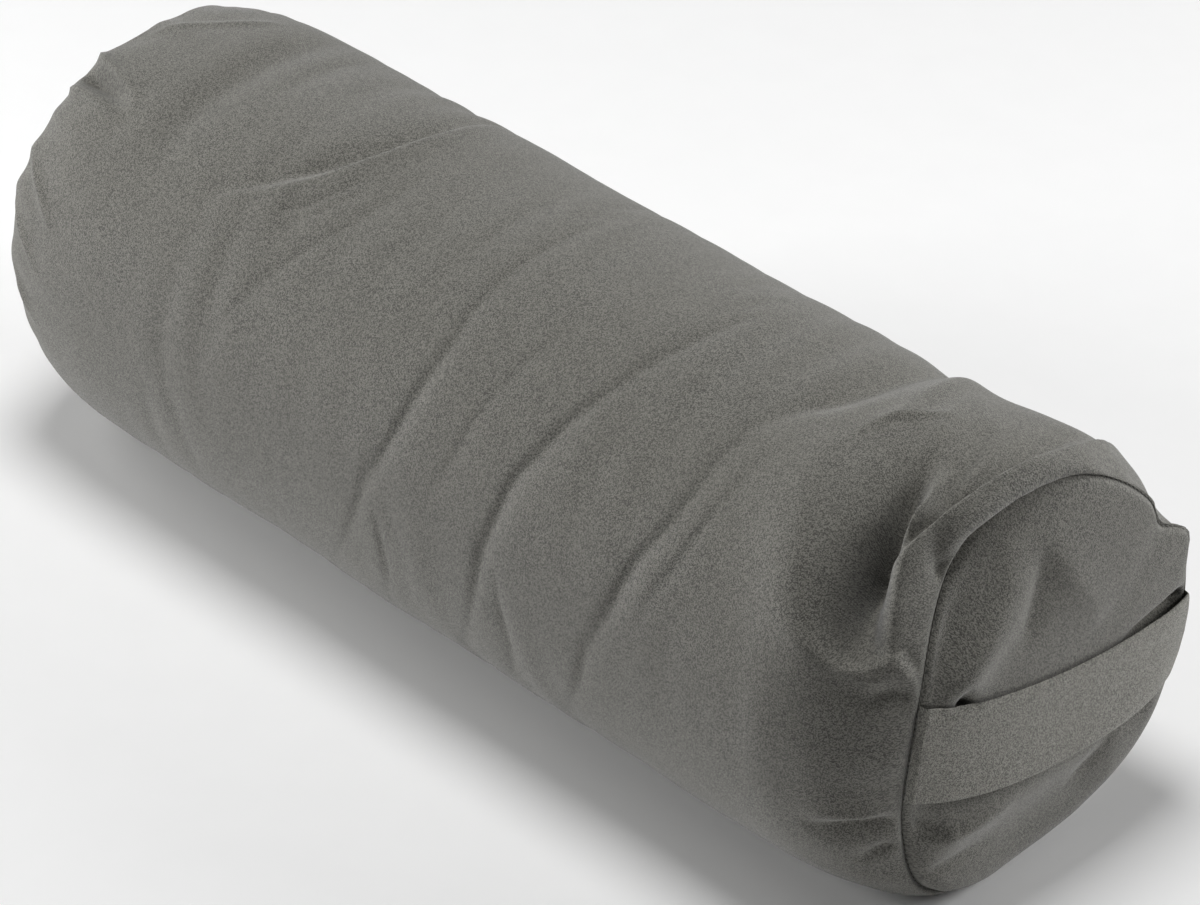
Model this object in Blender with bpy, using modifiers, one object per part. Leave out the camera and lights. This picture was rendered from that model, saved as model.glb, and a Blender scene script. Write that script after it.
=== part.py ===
"""Round yoga bolster: a stuffed roll in a removable twill cover, with a flat carry strap on one end.

+X runs along the roll to the strap end, +Z is up, and the origin is on the floor under the middle
of the whole object. The cover, the inner bag and the filling are nested lofts through sections of
one formula, each set in by a named distance. The zip runs along X on the +Y side, just under the
widest line of the roll, on a stretch where the section doesn't change.
"""

import math
from collections import namedtuple

import bmesh
import bpy
from mathutils import Matrix, Vector

# Whole object, in metres. The rise is from the roll's widest line up to its top
OVERALL_LENGTH = 0.650
BODY_WIDTH = 0.228
BODY_HEIGHT = 0.219
TOP_RISE = 0.108
REST_FLAT_WIDTH = 0.040
TOP_POWER = 2.12
BASE_POWER = 2.35

# Strap end: its seam is narrower than the roll, its top lower, and it lies a little towards +Y
FRONT_SEAM_WIDTH = 0.188
FRONT_SEAM_DROP = 0.008
FRONT_SEAM_BASE = 0.003
FRONT_SEAM_SHIFT = 0.014
FRONT_DRAW_IN = 0.060
FRONT_CROWN = 0.011

# Soft tuck in the cloth behind the front seam, deepest on the upper -Y side
TUCK_BACK = 0.034
TUCK_DEPTH = 0.007
TUCK_LENGTH = 0.014
TUCK_MIDDLE = math.radians(135)

# Plain end
REAR_SEAM_WIDTH = 0.203
REAR_SEAM_DROP = 0.015
REAR_SEAM_BASE = 0.008
REAR_SEAM_SHIFT = 0.006
REAR_DRAW_IN = 0.080
REAR_CROWN = 0.020
CROWN_POWER = 2.4

# Cloth and thread
COVER_CLOTH = 0.0009
LINER_CLOTH = 0.0005
THREAD_RADIUS = 0.00045
CLEAR = 0.0003

# Carry strap
STRAP_WIDTH = 0.050
STRAP_THICKNESS = 0.0020
STRAP_HEIGHT = 0.099
STRAP_POWER = 2.2
STRAP_END_SHARE = 0.95
STRAP_TAIL = 0.020
HAND_GAP = 0.0085

# Zip
ZIP_MARGIN = 0.018
ZIP_SLOT_WIDTH = 0.012
TAPE_WIDTH = 0.013
TAPE_THICKNESS = 0.0006
TAPE_TAIL = 0.012
TEETH_WIDTH = 0.0022
TEETH_HEIGHT = 0.0014
TEETH_APART = 0.0016
STOP_LENGTH = 0.003
STOP_PLAY = 0.0005
TOPSTITCH_OUT = 0.003

# Slider and pull
SLIDER_LENGTH = 0.012
SLIDER_PLATE = 0.0010
SLIDER_FLANGE = 0.0012
SLIDER_POST_LENGTH = 0.0025
EAR_LENGTH = 0.0030
EAR_THICKNESS = 0.0010
PULL_PIN_RADIUS = 0.0005
PULL_BARREL_RADIUS = 0.0012
PULL_BARREL_WIDTH = 0.0034
PULL_NECK = 0.0024
PULL_LENGTH = 0.026
PULL_WIDTH = 0.0062
PULL_THICKNESS = 0.0010
PULL_EDGE = 0.00025
PULL_NECK_THICKNESS = 0.0008

# Steps around each quarter of a section, and along each drawn-in end
QUARTER_STEPS = 6
REAR_STEPS = 5
STRAIGHT_STEPS = 4
FRONT_STEPS = 7
STRAP_STEPS = 14
LEAST_STRAP_STEPS = 3
TANGENT_STEP = 0.01
ROD_SEGMENTS = 16
PANEL_RINGS = (1.0, 0.9, 0.7, 0.45, 0.2)

WIDEST_HEIGHT = BODY_HEIGHT - TOP_RISE
SEAM_GAP = 2 * THREAD_RADIUS + 2 * CLEAR
FRONT_SEAM_X = (
    OVERALL_LENGTH / 2 - STRAP_THICKNESS - HAND_GAP - FRONT_CROWN - COVER_CLOTH - SEAM_GAP
)
REAR_SEAM_X = -OVERALL_LENGTH / 2 + REAR_CROWN + COVER_CLOTH + SEAM_GAP
STRAIGHT_FROM = REAR_SEAM_X + REAR_DRAW_IN
STRAIGHT_TO = FRONT_SEAM_X - FRONT_DRAW_IN
SLOT_FROM = STRAIGHT_FROM + ZIP_MARGIN
SLOT_TO = STRAIGHT_TO - ZIP_MARGIN

# Heights across the zip, measured outwards from the cover's outer face
TAPE_TOP = -COVER_CLOTH - CLEAR
TAPE_BOTTOM = TAPE_TOP - TAPE_THICKNESS
TEETH_BOTTOM = TAPE_TOP + CLEAR
TEETH_TOP = TEETH_BOTTOM + TEETH_HEIGHT
PLATE_TOP = TEETH_TOP + CLEAR + SLIDER_PLATE
PLATE_BOTTOM = TAPE_BOTTOM - CLEAR - SLIDER_PLATE
PIN_HEIGHT = PLATE_TOP + PULL_BARREL_RADIUS + 2 * CLEAR
SLIDER_HALF_WIDTH = TEETH_APART / 2 + TEETH_WIDTH + 2 * CLEAR + SLIDER_FLANGE

# The inner bag stays clear of the slider's inner plate, and the filling clear of the bag
LINER_INSET = -PLATE_BOTTOM + 3 * CLEAR
LINER_RISE = COVER_CLOTH + CLEAR
FILLING_INSET = LINER_INSET + LINER_CLOTH + 2 * CLEAR
FILLING_RISE = LINER_RISE + LINER_CLOTH + CLEAR

TWILL = (0.165, 0.162, 0.143)
SEWN_TWILL = (0.150, 0.147, 0.130)
TAPE_GREY = (0.110, 0.108, 0.098)
LINER_COTTON = (0.62, 0.58, 0.49)
FIBRE = (0.78, 0.74, 0.66)
ZIP_METAL = (0.42, 0.41, 0.39)

Section = namedtuple("Section", "x half_width top base centre_y")


def clear_scene():
    for obj in list(bpy.data.objects):
        bpy.data.objects.remove(obj, do_unlink=True)


def new_collection(name, hidden=False):
    collection = bpy.data.collections.new(name)
    collection.hide_render = hidden
    bpy.context.scene.collection.children.link(collection)
    return collection


def new_material(name, colour, roughness, metallic=0.0):
    material = bpy.data.materials.new(name)
    material.use_nodes = True
    material.diffuse_color = (*colour, 1.0)
    shader = material.node_tree.nodes["Principled BSDF"]
    shader.inputs["Base Color"].default_value = (*colour, 1.0)
    shader.inputs["Roughness"].default_value = roughness
    shader.inputs["Metallic"].default_value = metallic
    return material


def add_object(name, data, collection, material, parent=None):
    """Links mesh or curve data as an object, with its material and parent."""
    data.name = name
    data.materials.append(material)
    obj = bpy.data.objects.new(name, data)
    collection.objects.link(obj)
    obj.parent = parent
    return obj


def section_points(section, slot=False):
    """The (y, z) outline of one section, from the +Y side over the top and round under the roll.

    Each quarter is a superellipse. The lower two start at the edges of the flat that the roll
    rests on. With slot, two more points lie on the last facet, at the edges of the zip's slot.
    """
    _, half_width, top, base, centre_y = section
    foot = REST_FLAT_WIDTH / 2
    quarter = [math.pi / 2 * step / QUARTER_STEPS for step in range(QUARTER_STEPS + 1)]
    upper = [
        (
            half_width * math.cos(angle) ** (2 / TOP_POWER),
            WIDEST_HEIGHT + (top - WIDEST_HEIGHT) * math.sin(angle) ** (2 / TOP_POWER),
        )
        for angle in quarter
    ]
    lower = [
        (
            foot + (half_width - foot) * max(math.cos(angle), 0.0) ** (2 / BASE_POWER),
            WIDEST_HEIGHT - (WIDEST_HEIGHT - base) * math.sin(angle) ** (2 / BASE_POWER),
        )
        for angle in quarter
    ]
    upper[-1] = (0.0, top)
    lower[-1] = (foot, base)
    right_top = upper[:-1]
    left_top = [(-y, z) for y, z in reversed(upper)]
    left_base = [(-y, z) for y, z in lower[1:]]
    right_base = list(reversed(lower[1:]))
    points = [tucked(y, z, section.x) for y, z in right_top + left_top + left_base + right_base]
    if slot:
        low, high = Vector(points[-1]), Vector(points[0])
        along = (high - low).normalized() * ZIP_SLOT_WIDTH / 2
        middle = (low + high) / 2
        points += [tuple(middle - along), tuple(middle + along)]
    return [(y + centre_y, z) for y, z in points]


def tucked(y, z, x):
    """The point (y, z) of a section at x, pushed in towards the roll's middle by the tuck."""
    turn = math.atan2(z - WIDEST_HEIGHT, y) - TUCK_MIDDLE
    turn = (turn + math.pi) % (2 * math.pi) - math.pi
    if abs(turn) >= math.pi / 2:
        return y, z
    along = (x - FRONT_SEAM_X + TUCK_BACK) / TUCK_LENGTH
    depth = TUCK_DEPTH * math.exp(-(along**2)) * math.cos(turn) ** 2
    share = 1 - depth / math.hypot(y, z - WIDEST_HEIGHT)
    return y * share, WIDEST_HEIGHT + (z - WIDEST_HEIGHT) * share


def section_at(share_front, share_rear, x, inset, rise):
    """The section where the ends are drawn in by these shares, 0 on the straight and 1 at a seam."""
    width = (
        BODY_WIDTH
        - share_front * (BODY_WIDTH - FRONT_SEAM_WIDTH)
        - share_rear * (BODY_WIDTH - REAR_SEAM_WIDTH)
    )
    top = BODY_HEIGHT - share_front * FRONT_SEAM_DROP - share_rear * REAR_SEAM_DROP
    base = share_front * FRONT_SEAM_BASE + share_rear * REAR_SEAM_BASE
    centre_y = share_front * FRONT_SEAM_SHIFT + share_rear * REAR_SEAM_SHIFT
    return Section(x, width / 2 - inset, top - inset, base + rise, centre_y)


def body_sections(inset=0.0, rise=0.0):
    """Sections from the rear seam to the front one: each end is drawn in along a quarter ellipse."""
    sections = []
    for step in range(REAR_STEPS + 1):
        angle = math.pi / 2 * step / REAR_STEPS
        x = REAR_SEAM_X + inset + (REAR_DRAW_IN - inset) * (1 - math.cos(angle))
        sections.append(section_at(0.0, 1 - math.sin(angle), x, inset, rise))
    for step in range(STRAIGHT_STEPS + 1):
        x = SLOT_FROM + (SLOT_TO - SLOT_FROM) * step / STRAIGHT_STEPS
        sections.append(section_at(0.0, 0.0, x, inset, rise))
    for step in reversed(range(FRONT_STEPS + 1)):
        angle = math.pi / 2 * step / FRONT_STEPS
        x = FRONT_SEAM_X - inset - (FRONT_DRAW_IN - inset) * (1 - math.cos(angle))
        sections.append(section_at(1 - math.sin(angle), 0.0, x, inset, rise))
    return sections


def ring_of(section, slot=False):
    return [(section.x, y, z) for y, z in section_points(section, slot)]


def crown_rings(section, side, crown, shares=PANEL_RINGS):
    """Rings from an end section in towards its middle, which stands out by crown towards side."""
    middle_z = (section.top + section.base) / 2
    rings = []
    for share in shares:
        x = section.x + side * crown * (1 - share**CROWN_POWER)
        rings.append(
            [
                (x, section.centre_y + share * (y - section.centre_y), middle_z + share * (z - middle_z))
                for y, z in section_points(section)
            ]
        )
    return rings, (section.x + side * crown, section.centre_y, middle_z)


def loft(rings, skip=lambda ring, point: False, front_point=None, rear_point=None):
    """A mesh through rings of equal counts, in +X order, each closed by a fan where a point is given."""
    mesh = bpy.data.meshes.new("loft")
    count = len(rings[0])
    points = [point for ring in rings for point in ring]
    faces = []
    for ring in range(len(rings) - 1):
        for point in range(count):
            if skip(ring, point):
                continue
            after = (point + 1) % count
            low, high = ring * count, (ring + 1) * count
            faces.append((low + point, low + after, high + after, high + point))
    if front_point:
        last = (len(rings) - 1) * count
        points.append(front_point)
        faces += [(last + i, last + (i + 1) % count, len(points) - 1) for i in range(count)]
    if rear_point:
        points.append(rear_point)
        faces += [((i + 1) % count, i, len(points) - 1) for i in range(count)]
    mesh.from_pydata(points, [], faces)
    mesh.shade_smooth()
    return mesh


def thicken(obj, thickness):
    """Gives an open cloth surface its thickness, on its inner side."""
    solidify = obj.modifiers.new("cloth", "SOLIDIFY")
    solidify.thickness = thickness
    solidify.offset = -1.0
    solidify.use_even_offset = True


def build_tube(name, inset, rise, cloth, collection, material, slot=False):
    """The open tube of the cover or of the inner bag, with the zip's slot where slot is set."""
    sections = body_sections(inset, rise)
    rings = [ring_of(section, slot) for section in sections]
    slot_facet = len(rings[0]) - 2

    def in_slot(ring, point):
        middle_x = (sections[ring].x + sections[ring + 1].x) / 2
        return slot and point == slot_facet and SLOT_FROM < middle_x < SLOT_TO

    obj = add_object(name, loft(rings, in_slot), collection, material)
    thicken(obj, cloth)
    return obj


def build_panel(name, side, inset, rise, cloth, collection, material):
    """One crowned end disc, a seam's gap outside the tube's last ring. side is +1 at the strap end."""
    sections = body_sections(inset, rise)
    seam = sections[-1] if side > 0 else sections[0]
    crown = FRONT_CROWN if side > 0 else REAR_CROWN
    rim = seam._replace(x=seam.x + side * (SEAM_GAP + cloth))
    rings, middle = crown_rings(rim, side, crown)
    if side > 0:
        mesh = loft(rings, front_point=middle)
    else:
        mesh = loft(rings[::-1], rear_point=middle)
    obj = add_object(name, mesh, collection, material)
    thicken(obj, cloth)
    return obj


def build_seam_thread(name, side, inset, rise, cloth, collection, material):
    """The closed ring of stitching between a tube and its end disc, in the middle of the cloth."""
    sections = body_sections(inset, rise)
    seam = sections[-1] if side > 0 else sections[0]
    ring = section_at(side > 0, side < 0, seam.x + side * SEAM_GAP / 2, inset + cloth / 2, rise + cloth / 2)
    return add_object(name, wire(ring_of(ring), THREAD_RADIUS), collection, material)


def wire(points, radius, closed=True):
    """A thin round line through these points."""
    curve = bpy.data.curves.new("wire", "CURVE")
    curve.dimensions = "3D"
    curve.bevel_depth = radius
    curve.bevel_resolution = 1
    curve.use_fill_caps = not closed
    spline = curve.splines.new("POLY")
    spline.points.add(len(points) - 1)
    for point, place in zip(spline.points, points):
        point.co = (*place, 1.0)
    spline.use_cyclic_u = closed
    return curve


def build_filling(collection, material):
    """The stuffing as one closed solid with crowned ends."""
    sections = body_sections(FILLING_INSET, FILLING_RISE)
    rings = [ring_of(section) for section in sections]
    rear, rear_middle = crown_rings(sections[0], -1, REAR_CROWN, PANEL_RINGS[1:])
    front, front_middle = crown_rings(sections[-1], 1, FRONT_CROWN, PANEL_RINGS[1:])
    mesh = loft(rear[::-1] + rings + front, front_point=front_middle, rear_point=rear_middle)
    return add_object("filling", mesh, collection, material)


def strap_line(share):
    """The (x, y) of the strap's inner face, at share -1 to 1 between its sewn ends."""
    rim_x = FRONT_SEAM_X + SEAM_GAP + COVER_CLOTH
    end_x = rim_x + FRONT_CROWN * (1 - STRAP_END_SHARE**CROWN_POWER) + 2 * CLEAR
    middle_x = rim_x + FRONT_CROWN + HAND_GAP
    x = end_x + (middle_x - end_x) * (1 - abs(share) ** STRAP_POWER)
    return x, FRONT_SEAM_SHIFT + share * STRAP_END_SHARE * FRONT_SEAM_WIDTH / 2


def strap_piece(name, share_from, share_to, collection, material):
    """A stretch of the strap: its outline seen from above, extruded to the strap's width."""
    steps = max(LEAST_STRAP_STEPS, round(STRAP_STEPS * (share_to - share_from) / 2))
    inner, outer = [], []
    for step in range(steps + 1):
        share = share_from + (share_to - share_from) * step / steps
        before = Vector(strap_line(share - TANGENT_STEP))
        after = Vector(strap_line(share + TANGENT_STEP))
        along = (after - before).normalized()
        outwards = Vector((along.y, -along.x))
        place = Vector(strap_line(share))
        inner.append(place)
        outer.append(place + outwards * STRAP_THICKNESS)
    curve = bpy.data.curves.new(name, "CURVE")
    curve.dimensions = "2D"
    curve.fill_mode = "BOTH"
    curve.extrude = STRAP_WIDTH / 2
    spline = curve.splines.new("POLY")
    outline = inner + outer[::-1]
    spline.points.add(len(outline) - 1)
    for point, place in zip(spline.points, outline):
        point.co = (place.x, place.y, 0.0, 1.0)
    spline.use_cyclic_u = True
    obj = add_object(name, curve, collection, material)
    obj.location.z = STRAP_HEIGHT
    return obj


def build_strap(collection, material):
    """The strap between its sewn ends, and the two tails that the front seam holds."""
    length = STRAP_END_SHARE * FRONT_SEAM_WIDTH / 2
    tail_share = 1 - STRAP_TAIL / length
    gap_share = CLEAR / length
    strap_piece("carry_strap", -tail_share, tail_share, collection, material)
    strap_piece("strap_tail_left", -1.0, -tail_share - gap_share, collection, material)
    strap_piece("strap_tail_right", tail_share + gap_share, 1.0, collection, material)


def zip_frame(collection):
    """An empty on the cover's outer face, at the middle of the zip's facet: its Z points outwards."""
    straight = section_at(0.0, 0.0, 0.0, 0.0, 0.0)
    points = section_points(straight)
    low, high = Vector(points[-1]), Vector(points[0])
    along = (high - low).normalized()
    outwards = Vector((along.y, -along.x))
    middle = (low + high) / 2
    empty = bpy.data.objects.new("zip_frame", None)
    collection.objects.link(empty)
    empty.location = (0.0, middle.x, middle.y)
    empty.rotation_euler.x = math.atan2(-outwards.x, outwards.y)
    return empty


def box_mesh(low, high):
    """A cuboid between two corners, as mesh data about the object's origin."""
    mesh = bpy.data.meshes.new("box")
    low, high = Vector(low), Vector(high)
    shape = bmesh.new()
    bmesh.ops.create_cube(shape, size=1.0)
    scale = Matrix.Diagonal((*(high - low), 1.0))
    shape.transform(Matrix.Translation((low + high) / 2) @ scale)
    shape.to_mesh(mesh)
    shape.free()
    return mesh


def rod_mesh(radius, half_length, height=0.0):
    """A round rod along Y, as mesh data."""
    mesh = bpy.data.meshes.new("rod")
    shape = bmesh.new()
    bmesh.ops.create_cone(
        shape,
        cap_ends=True,
        segments=ROD_SEGMENTS,
        radius1=radius,
        radius2=radius,
        depth=2 * half_length,
    )
    turn = Matrix.Rotation(math.pi / 2, 4, "X")
    shape.transform(Matrix.Translation((0.0, 0.0, height)) @ turn)
    shape.to_mesh(mesh)
    shape.free()
    return mesh


def combine(target, tool_mesh, operation, cutters):
    """Joins a tool shape to the target, or cuts it away, by an exact Boolean in the target's axes."""
    tool = bpy.data.objects.new(f"{target.name}_{operation.lower()}", tool_mesh)
    cutters.objects.link(tool)
    tool.parent = target.parent
    tool.location = target.location
    tool.hide_render = True
    tool.display_type = "WIRE"
    boolean = target.modifiers.new(operation.lower(), "BOOLEAN")
    boolean.operation = operation
    boolean.object = tool


def round_edges(obj, width):
    bevel = obj.modifiers.new("round", "BEVEL")
    bevel.width = width
    bevel.segments = 1
    bevel.limit_method = "ANGLE"


def build_tapes(frame, collection, tape, coil):
    """The two woven tapes behind the cover, and the row of teeth along each one's inner edge."""
    for name, side in (("lower", 1), ("upper", -1)):
        edges = sorted((side * TEETH_APART / 2, side * (TEETH_APART / 2 + TAPE_WIDTH)))
        mesh = box_mesh(
            (SLOT_FROM - TAPE_TAIL, edges[0], TAPE_BOTTOM), (SLOT_TO + TAPE_TAIL, edges[1], TAPE_TOP)
        )
        add_object(f"zip_tape_{name}", mesh, collection, tape, frame)
        edges = sorted((side * TEETH_APART / 2, side * (TEETH_APART / 2 + TEETH_WIDTH)))
        start = SLOT_FROM + CLEAR + STOP_LENGTH + CLEAR
        end = SLOT_TO - CLEAR - STOP_LENGTH - CLEAR
        mesh = box_mesh((start, edges[0], TEETH_BOTTOM), (end, edges[1], TEETH_TOP))
        add_object(f"zip_teeth_{name}", mesh, collection, coil, frame)


def build_stops(frame, collection, metal):
    """The metal stop across both rows at each end of the zip."""
    half_width = TEETH_APART / 2 + TEETH_WIDTH
    for name, start in (
        ("rear", SLOT_FROM + CLEAR),
        ("front", SLOT_TO - CLEAR - STOP_LENGTH),
    ):
        low = (start, -half_width, TEETH_BOTTOM)
        high = (start + STOP_LENGTH, half_width, TEETH_TOP + CLEAR)
        add_object(f"zip_{name}_stop", box_mesh(low, high), collection, metal, frame)


def build_slider(frame, collection, cutters, metal):
    """The slider, with its origin on the zip's line: two plates, a post, flanges, ears and a pin."""
    half = SLIDER_LENGTH / 2
    inner = SLIDER_HALF_WIDTH - SLIDER_FLANGE
    low = (-half, -SLIDER_HALF_WIDTH, PLATE_TOP - SLIDER_PLATE)
    slider = add_object(
        "zip_slider", box_mesh(low, (half, SLIDER_HALF_WIDTH, PLATE_TOP)), collection, metal, frame
    )
    slider.location.x = SLOT_FROM + CLEAR + STOP_LENGTH + STOP_PLAY + half
    overlap = SLIDER_PLATE / 2
    ear_inner = PULL_BARREL_WIDTH / 2 + CLEAR
    ear_top = PIN_HEIGHT + 2 * PULL_PIN_RADIUS
    shapes = [
        box_mesh(
            (-half, -SLIDER_HALF_WIDTH, PLATE_BOTTOM),
            (half, SLIDER_HALF_WIDTH, PLATE_BOTTOM + SLIDER_PLATE),
        ),
        box_mesh(
            (-half, -TEETH_APART / 2 + CLEAR, PLATE_BOTTOM + overlap),
            (-half + SLIDER_POST_LENGTH, TEETH_APART / 2 - CLEAR, PLATE_TOP - overlap),
        ),
        rod_mesh(PULL_PIN_RADIUS, ear_inner + EAR_THICKNESS / 2, PIN_HEIGHT),
    ]
    for side in (-1, 1):
        flange = sorted((side * inner, side * SLIDER_HALF_WIDTH))
        ear = sorted((side * ear_inner, side * (ear_inner + EAR_THICKNESS)))
        shapes.append(
            box_mesh((-half, flange[0], TAPE_TOP + CLEAR), (half, flange[1], PLATE_TOP - overlap))
        )
        shapes.append(
            box_mesh(
                (-EAR_LENGTH / 2, ear[0], PLATE_TOP - overlap), (EAR_LENGTH / 2, ear[1], ear_top)
            )
        )
    for shape in shapes:
        combine(slider, shape, "UNION", cutters)
    return slider


def build_pull(slider, collection, cutters, metal):
    """The pull, with its origin on its pin, lying flat towards +X: a barrel, a neck and a tab."""
    half_thickness = PULL_THICKNESS / 2
    pull = add_object(
        "zip_pull",
        box_mesh(
            (PULL_NECK, -PULL_WIDTH / 2, -half_thickness), (PULL_LENGTH, PULL_WIDTH / 2, half_thickness)
        ),
        collection,
        metal,
        slider,
    )
    pull.location.z = PIN_HEIGHT
    round_edges(pull, PULL_EDGE)
    neck_half_width = PULL_BARREL_WIDTH / 2 - PULL_EDGE
    neck = box_mesh(
        (0.0, -neck_half_width, -PULL_NECK_THICKNESS / 2),
        (PULL_NECK + PULL_THICKNESS, neck_half_width, PULL_NECK_THICKNESS / 2),
    )
    combine(pull, neck, "UNION", cutters)
    combine(pull, rod_mesh(PULL_BARREL_RADIUS, PULL_BARREL_WIDTH / 2), "UNION", cutters)
    combine(pull, rod_mesh(PULL_PIN_RADIUS + CLEAR, PULL_BARREL_WIDTH), "DIFFERENCE", cutters)
    return pull


def build_topstitch(frame, collection, thread):
    """The line of stitching all round the slot, which holds the tapes to the cover."""
    out = ZIP_SLOT_WIDTH / 2 + TOPSTITCH_OUT
    height = CLEAR + THREAD_RADIUS
    corners = [
        (SLOT_FROM - TOPSTITCH_OUT, -out, height),
        (SLOT_TO + TOPSTITCH_OUT, -out, height),
        (SLOT_TO + TOPSTITCH_OUT, out, height),
        (SLOT_FROM - TOPSTITCH_OUT, out, height),
    ]
    return add_object("zip_topstitch", wire(corners, THREAD_RADIUS), collection, thread, frame)


def build_bolster():
    parts = new_collection("yoga_bolster")
    cutters = new_collection("cutters", hidden=True)
    twill = new_material("cover_twill", TWILL, 0.92)
    sewn = new_material("sewing_thread", SEWN_TWILL, 0.85)
    tape = new_material("zip_tape", TAPE_GREY, 0.80)
    coil = new_material("zip_coil", TAPE_GREY, 0.45)
    metal = new_material("zip_metal", ZIP_METAL, 0.35, 1.0)
    cotton = new_material("liner_cotton", LINER_COTTON, 0.95)
    fibre = new_material("fibre", FIBRE, 1.0)

    build_tube("cover_body", 0.0, 0.0, COVER_CLOTH, parts, twill, slot=True)
    build_tube("liner_body", LINER_INSET, LINER_RISE, LINER_CLOTH, parts, cotton)
    for name, side in (("front", 1), ("rear", -1)):
        build_panel(f"cover_{name}_panel", side, 0.0, 0.0, COVER_CLOTH, parts, twill)
        build_panel(f"liner_{name}_panel", side, LINER_INSET, LINER_RISE, LINER_CLOTH, parts, cotton)
        build_seam_thread(f"cover_{name}_thread", side, 0.0, 0.0, COVER_CLOTH, parts, sewn)
        build_seam_thread(
            f"liner_{name}_thread", side, LINER_INSET, LINER_RISE, LINER_CLOTH, parts, cotton
        )
    build_filling(parts, fibre)
    build_strap(parts, twill)

    frame = zip_frame(parts)
    build_tapes(frame, parts, tape, coil)
    build_stops(frame, parts, metal)
    build_topstitch(frame, parts, sewn)
    slider = build_slider(frame, parts, cutters, metal)
    build_pull(slider, parts, cutters, metal)


clear_scene()
build_bolster()
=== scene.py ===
"""Round yoga bolster dressed for rendering: cover, strap, seams, zip, inner bag and stuffing.

Every cloth surface is a numpy grid over one formula of the roll, so the cover, its seams and the
inner bag follow each other. Sizes are in metres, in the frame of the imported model.
"""

from collections import namedtuple

import bpy
import numpy as np
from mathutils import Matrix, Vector


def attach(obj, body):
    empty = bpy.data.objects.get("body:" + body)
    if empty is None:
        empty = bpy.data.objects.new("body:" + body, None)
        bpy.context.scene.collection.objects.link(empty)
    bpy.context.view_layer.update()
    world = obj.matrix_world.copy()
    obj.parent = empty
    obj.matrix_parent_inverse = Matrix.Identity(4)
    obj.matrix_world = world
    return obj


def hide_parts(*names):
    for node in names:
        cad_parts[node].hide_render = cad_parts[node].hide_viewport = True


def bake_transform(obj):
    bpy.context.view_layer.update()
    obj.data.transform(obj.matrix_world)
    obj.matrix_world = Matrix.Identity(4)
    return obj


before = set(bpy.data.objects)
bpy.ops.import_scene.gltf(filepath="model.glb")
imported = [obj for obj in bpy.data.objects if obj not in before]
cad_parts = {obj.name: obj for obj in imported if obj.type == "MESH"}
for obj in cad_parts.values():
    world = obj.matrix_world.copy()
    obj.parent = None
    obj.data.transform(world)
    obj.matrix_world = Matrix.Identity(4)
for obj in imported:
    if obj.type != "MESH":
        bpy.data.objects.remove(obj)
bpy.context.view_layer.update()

bl_info = {
    "name": "Yoga bolster",
    "version": (1, 0, 0),
    "blender": (4, 5, 0),
    "location": "View3D > Sidebar > Bolster",
    "description": "Builds the cloth, seams, zip and stage of a round yoga bolster",
    "category": "Object",
}

# The roll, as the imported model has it: its width and height, the height of its widest place, powers
# of its upper and lower quarters, how far under the floor its base is pressed, half the width of
# its foot, over what share of a half the foot rounds off, and the thickness of the cover's cloth
BODY_WIDTH = 0.228
BODY_HEIGHT = 0.219
WIDEST_HEIGHT = 0.111
TOP_POWER = 2.12
BASE_POWER = 2.20
REST_PRESS = 0.004
FOOT = 0.012
FOOT_ROUND = 0.2
COVER_CLOTH = 0.0009

# The two end seams: side along X, width, top, base, shift towards +Y, place along X, length drawn
# in, height of the end disc's crown, and how far the seam's two sides lean out past its top
End = namedtuple("End", "side width top base shift x draw_in crown lean")
FRONT = End(1, 0.188, 0.211, 0.003, 0.021, 0.3011, 0.060, 0.0170, 0.006)
REAR = End(-1, 0.203, 0.204, 0.008, 0.006, -0.3026, 0.080, 0.0224, 0.0)

# The discs: power of their crowns' curve, the radius that turns a share of the way out into a
# length, how far they stay off the floor, and the plain end's pleats: the height they run in to,
# and for each set its height, the power by which it grows outwards, its number and its start
CROWN_POWER = 2.8
DISC_RADIUS = 0.1
DISC_OFF_FLOOR = 0.0004
REAR_PLEATS_MIDDLE = 0.1085
REAR_PLEATS = ((0.0012, 3, 9, 0.8), (0.0008, 2, 5, 2.0))

# Points of the cover's grid along the cloth, behind, beside and ahead of the zip's slot, and round
# it, from the zip to the side that is seen, on that side, and back to the zip. Then the rings and
# columns of a disc's grid, and the points of a seam's line.
COVER_ROWS = (56, 240, 64)
COVER_COLUMNS = (17, 200, 46)
SEEN_SIDE = np.radians((40, 225))
DISC_RINGS = 56
DISC_COLUMNS = 240
SEAM_COLUMNS = 360

# Cloth of a disc that hangs over its seam, most at the lower +Y side: how far along X, what share
# of that outwards, how wide, where, and the strap's hold on it: its half height and its share
SAG_OUT = 0.0080
SAG_WIDER = 0.55
SAG_REACH = 0.010
SAG_MIDDLE = np.radians(-72)
SAG_HELD_HALF = 0.034
SAG_HELD = 0.85

# The front seam isn't flat or even: for 1 to 4 waves round it, how far their cosine and sine lean
# it along X in metres, and swell it by a share of its radius. It is also smaller all round.
SEAM_WAVES = (
    (0.00285, -0.00202, -0.0132, -0.0240),
    (0.00030, 0.00329, -0.0269, 0.0),
    (-0.00028, 0.00353, 0.0175, -0.0122),
    (0.00166, -0.00218, 0.0073, -0.0012),
)
SEAM_SHRINK = -0.0129

# Corners of the front seam: angle and half width in degrees, and share of the radius it stands out.
# Its underside is tucked back along X and held a little off the floor. Both seams dip between the
# cloths that they join, by a depth and a rounding, and leave a little space between those.
SEAM_CORNERS = ((19, 7, 0.075), (33, 6, -0.045), (228, 15, 0.045))
SEAM_UNDERCUT = 0.017
SEAM_LIFT = 0.003
SEAM_CENTRE_HEIGHT = 0.107
SEAM_DIP = 0.0024
SEAM_ROUND = 0.0016
SEAM_SPACE = 0.0004
SEAM_SPACE_REACH = 0.003

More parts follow.
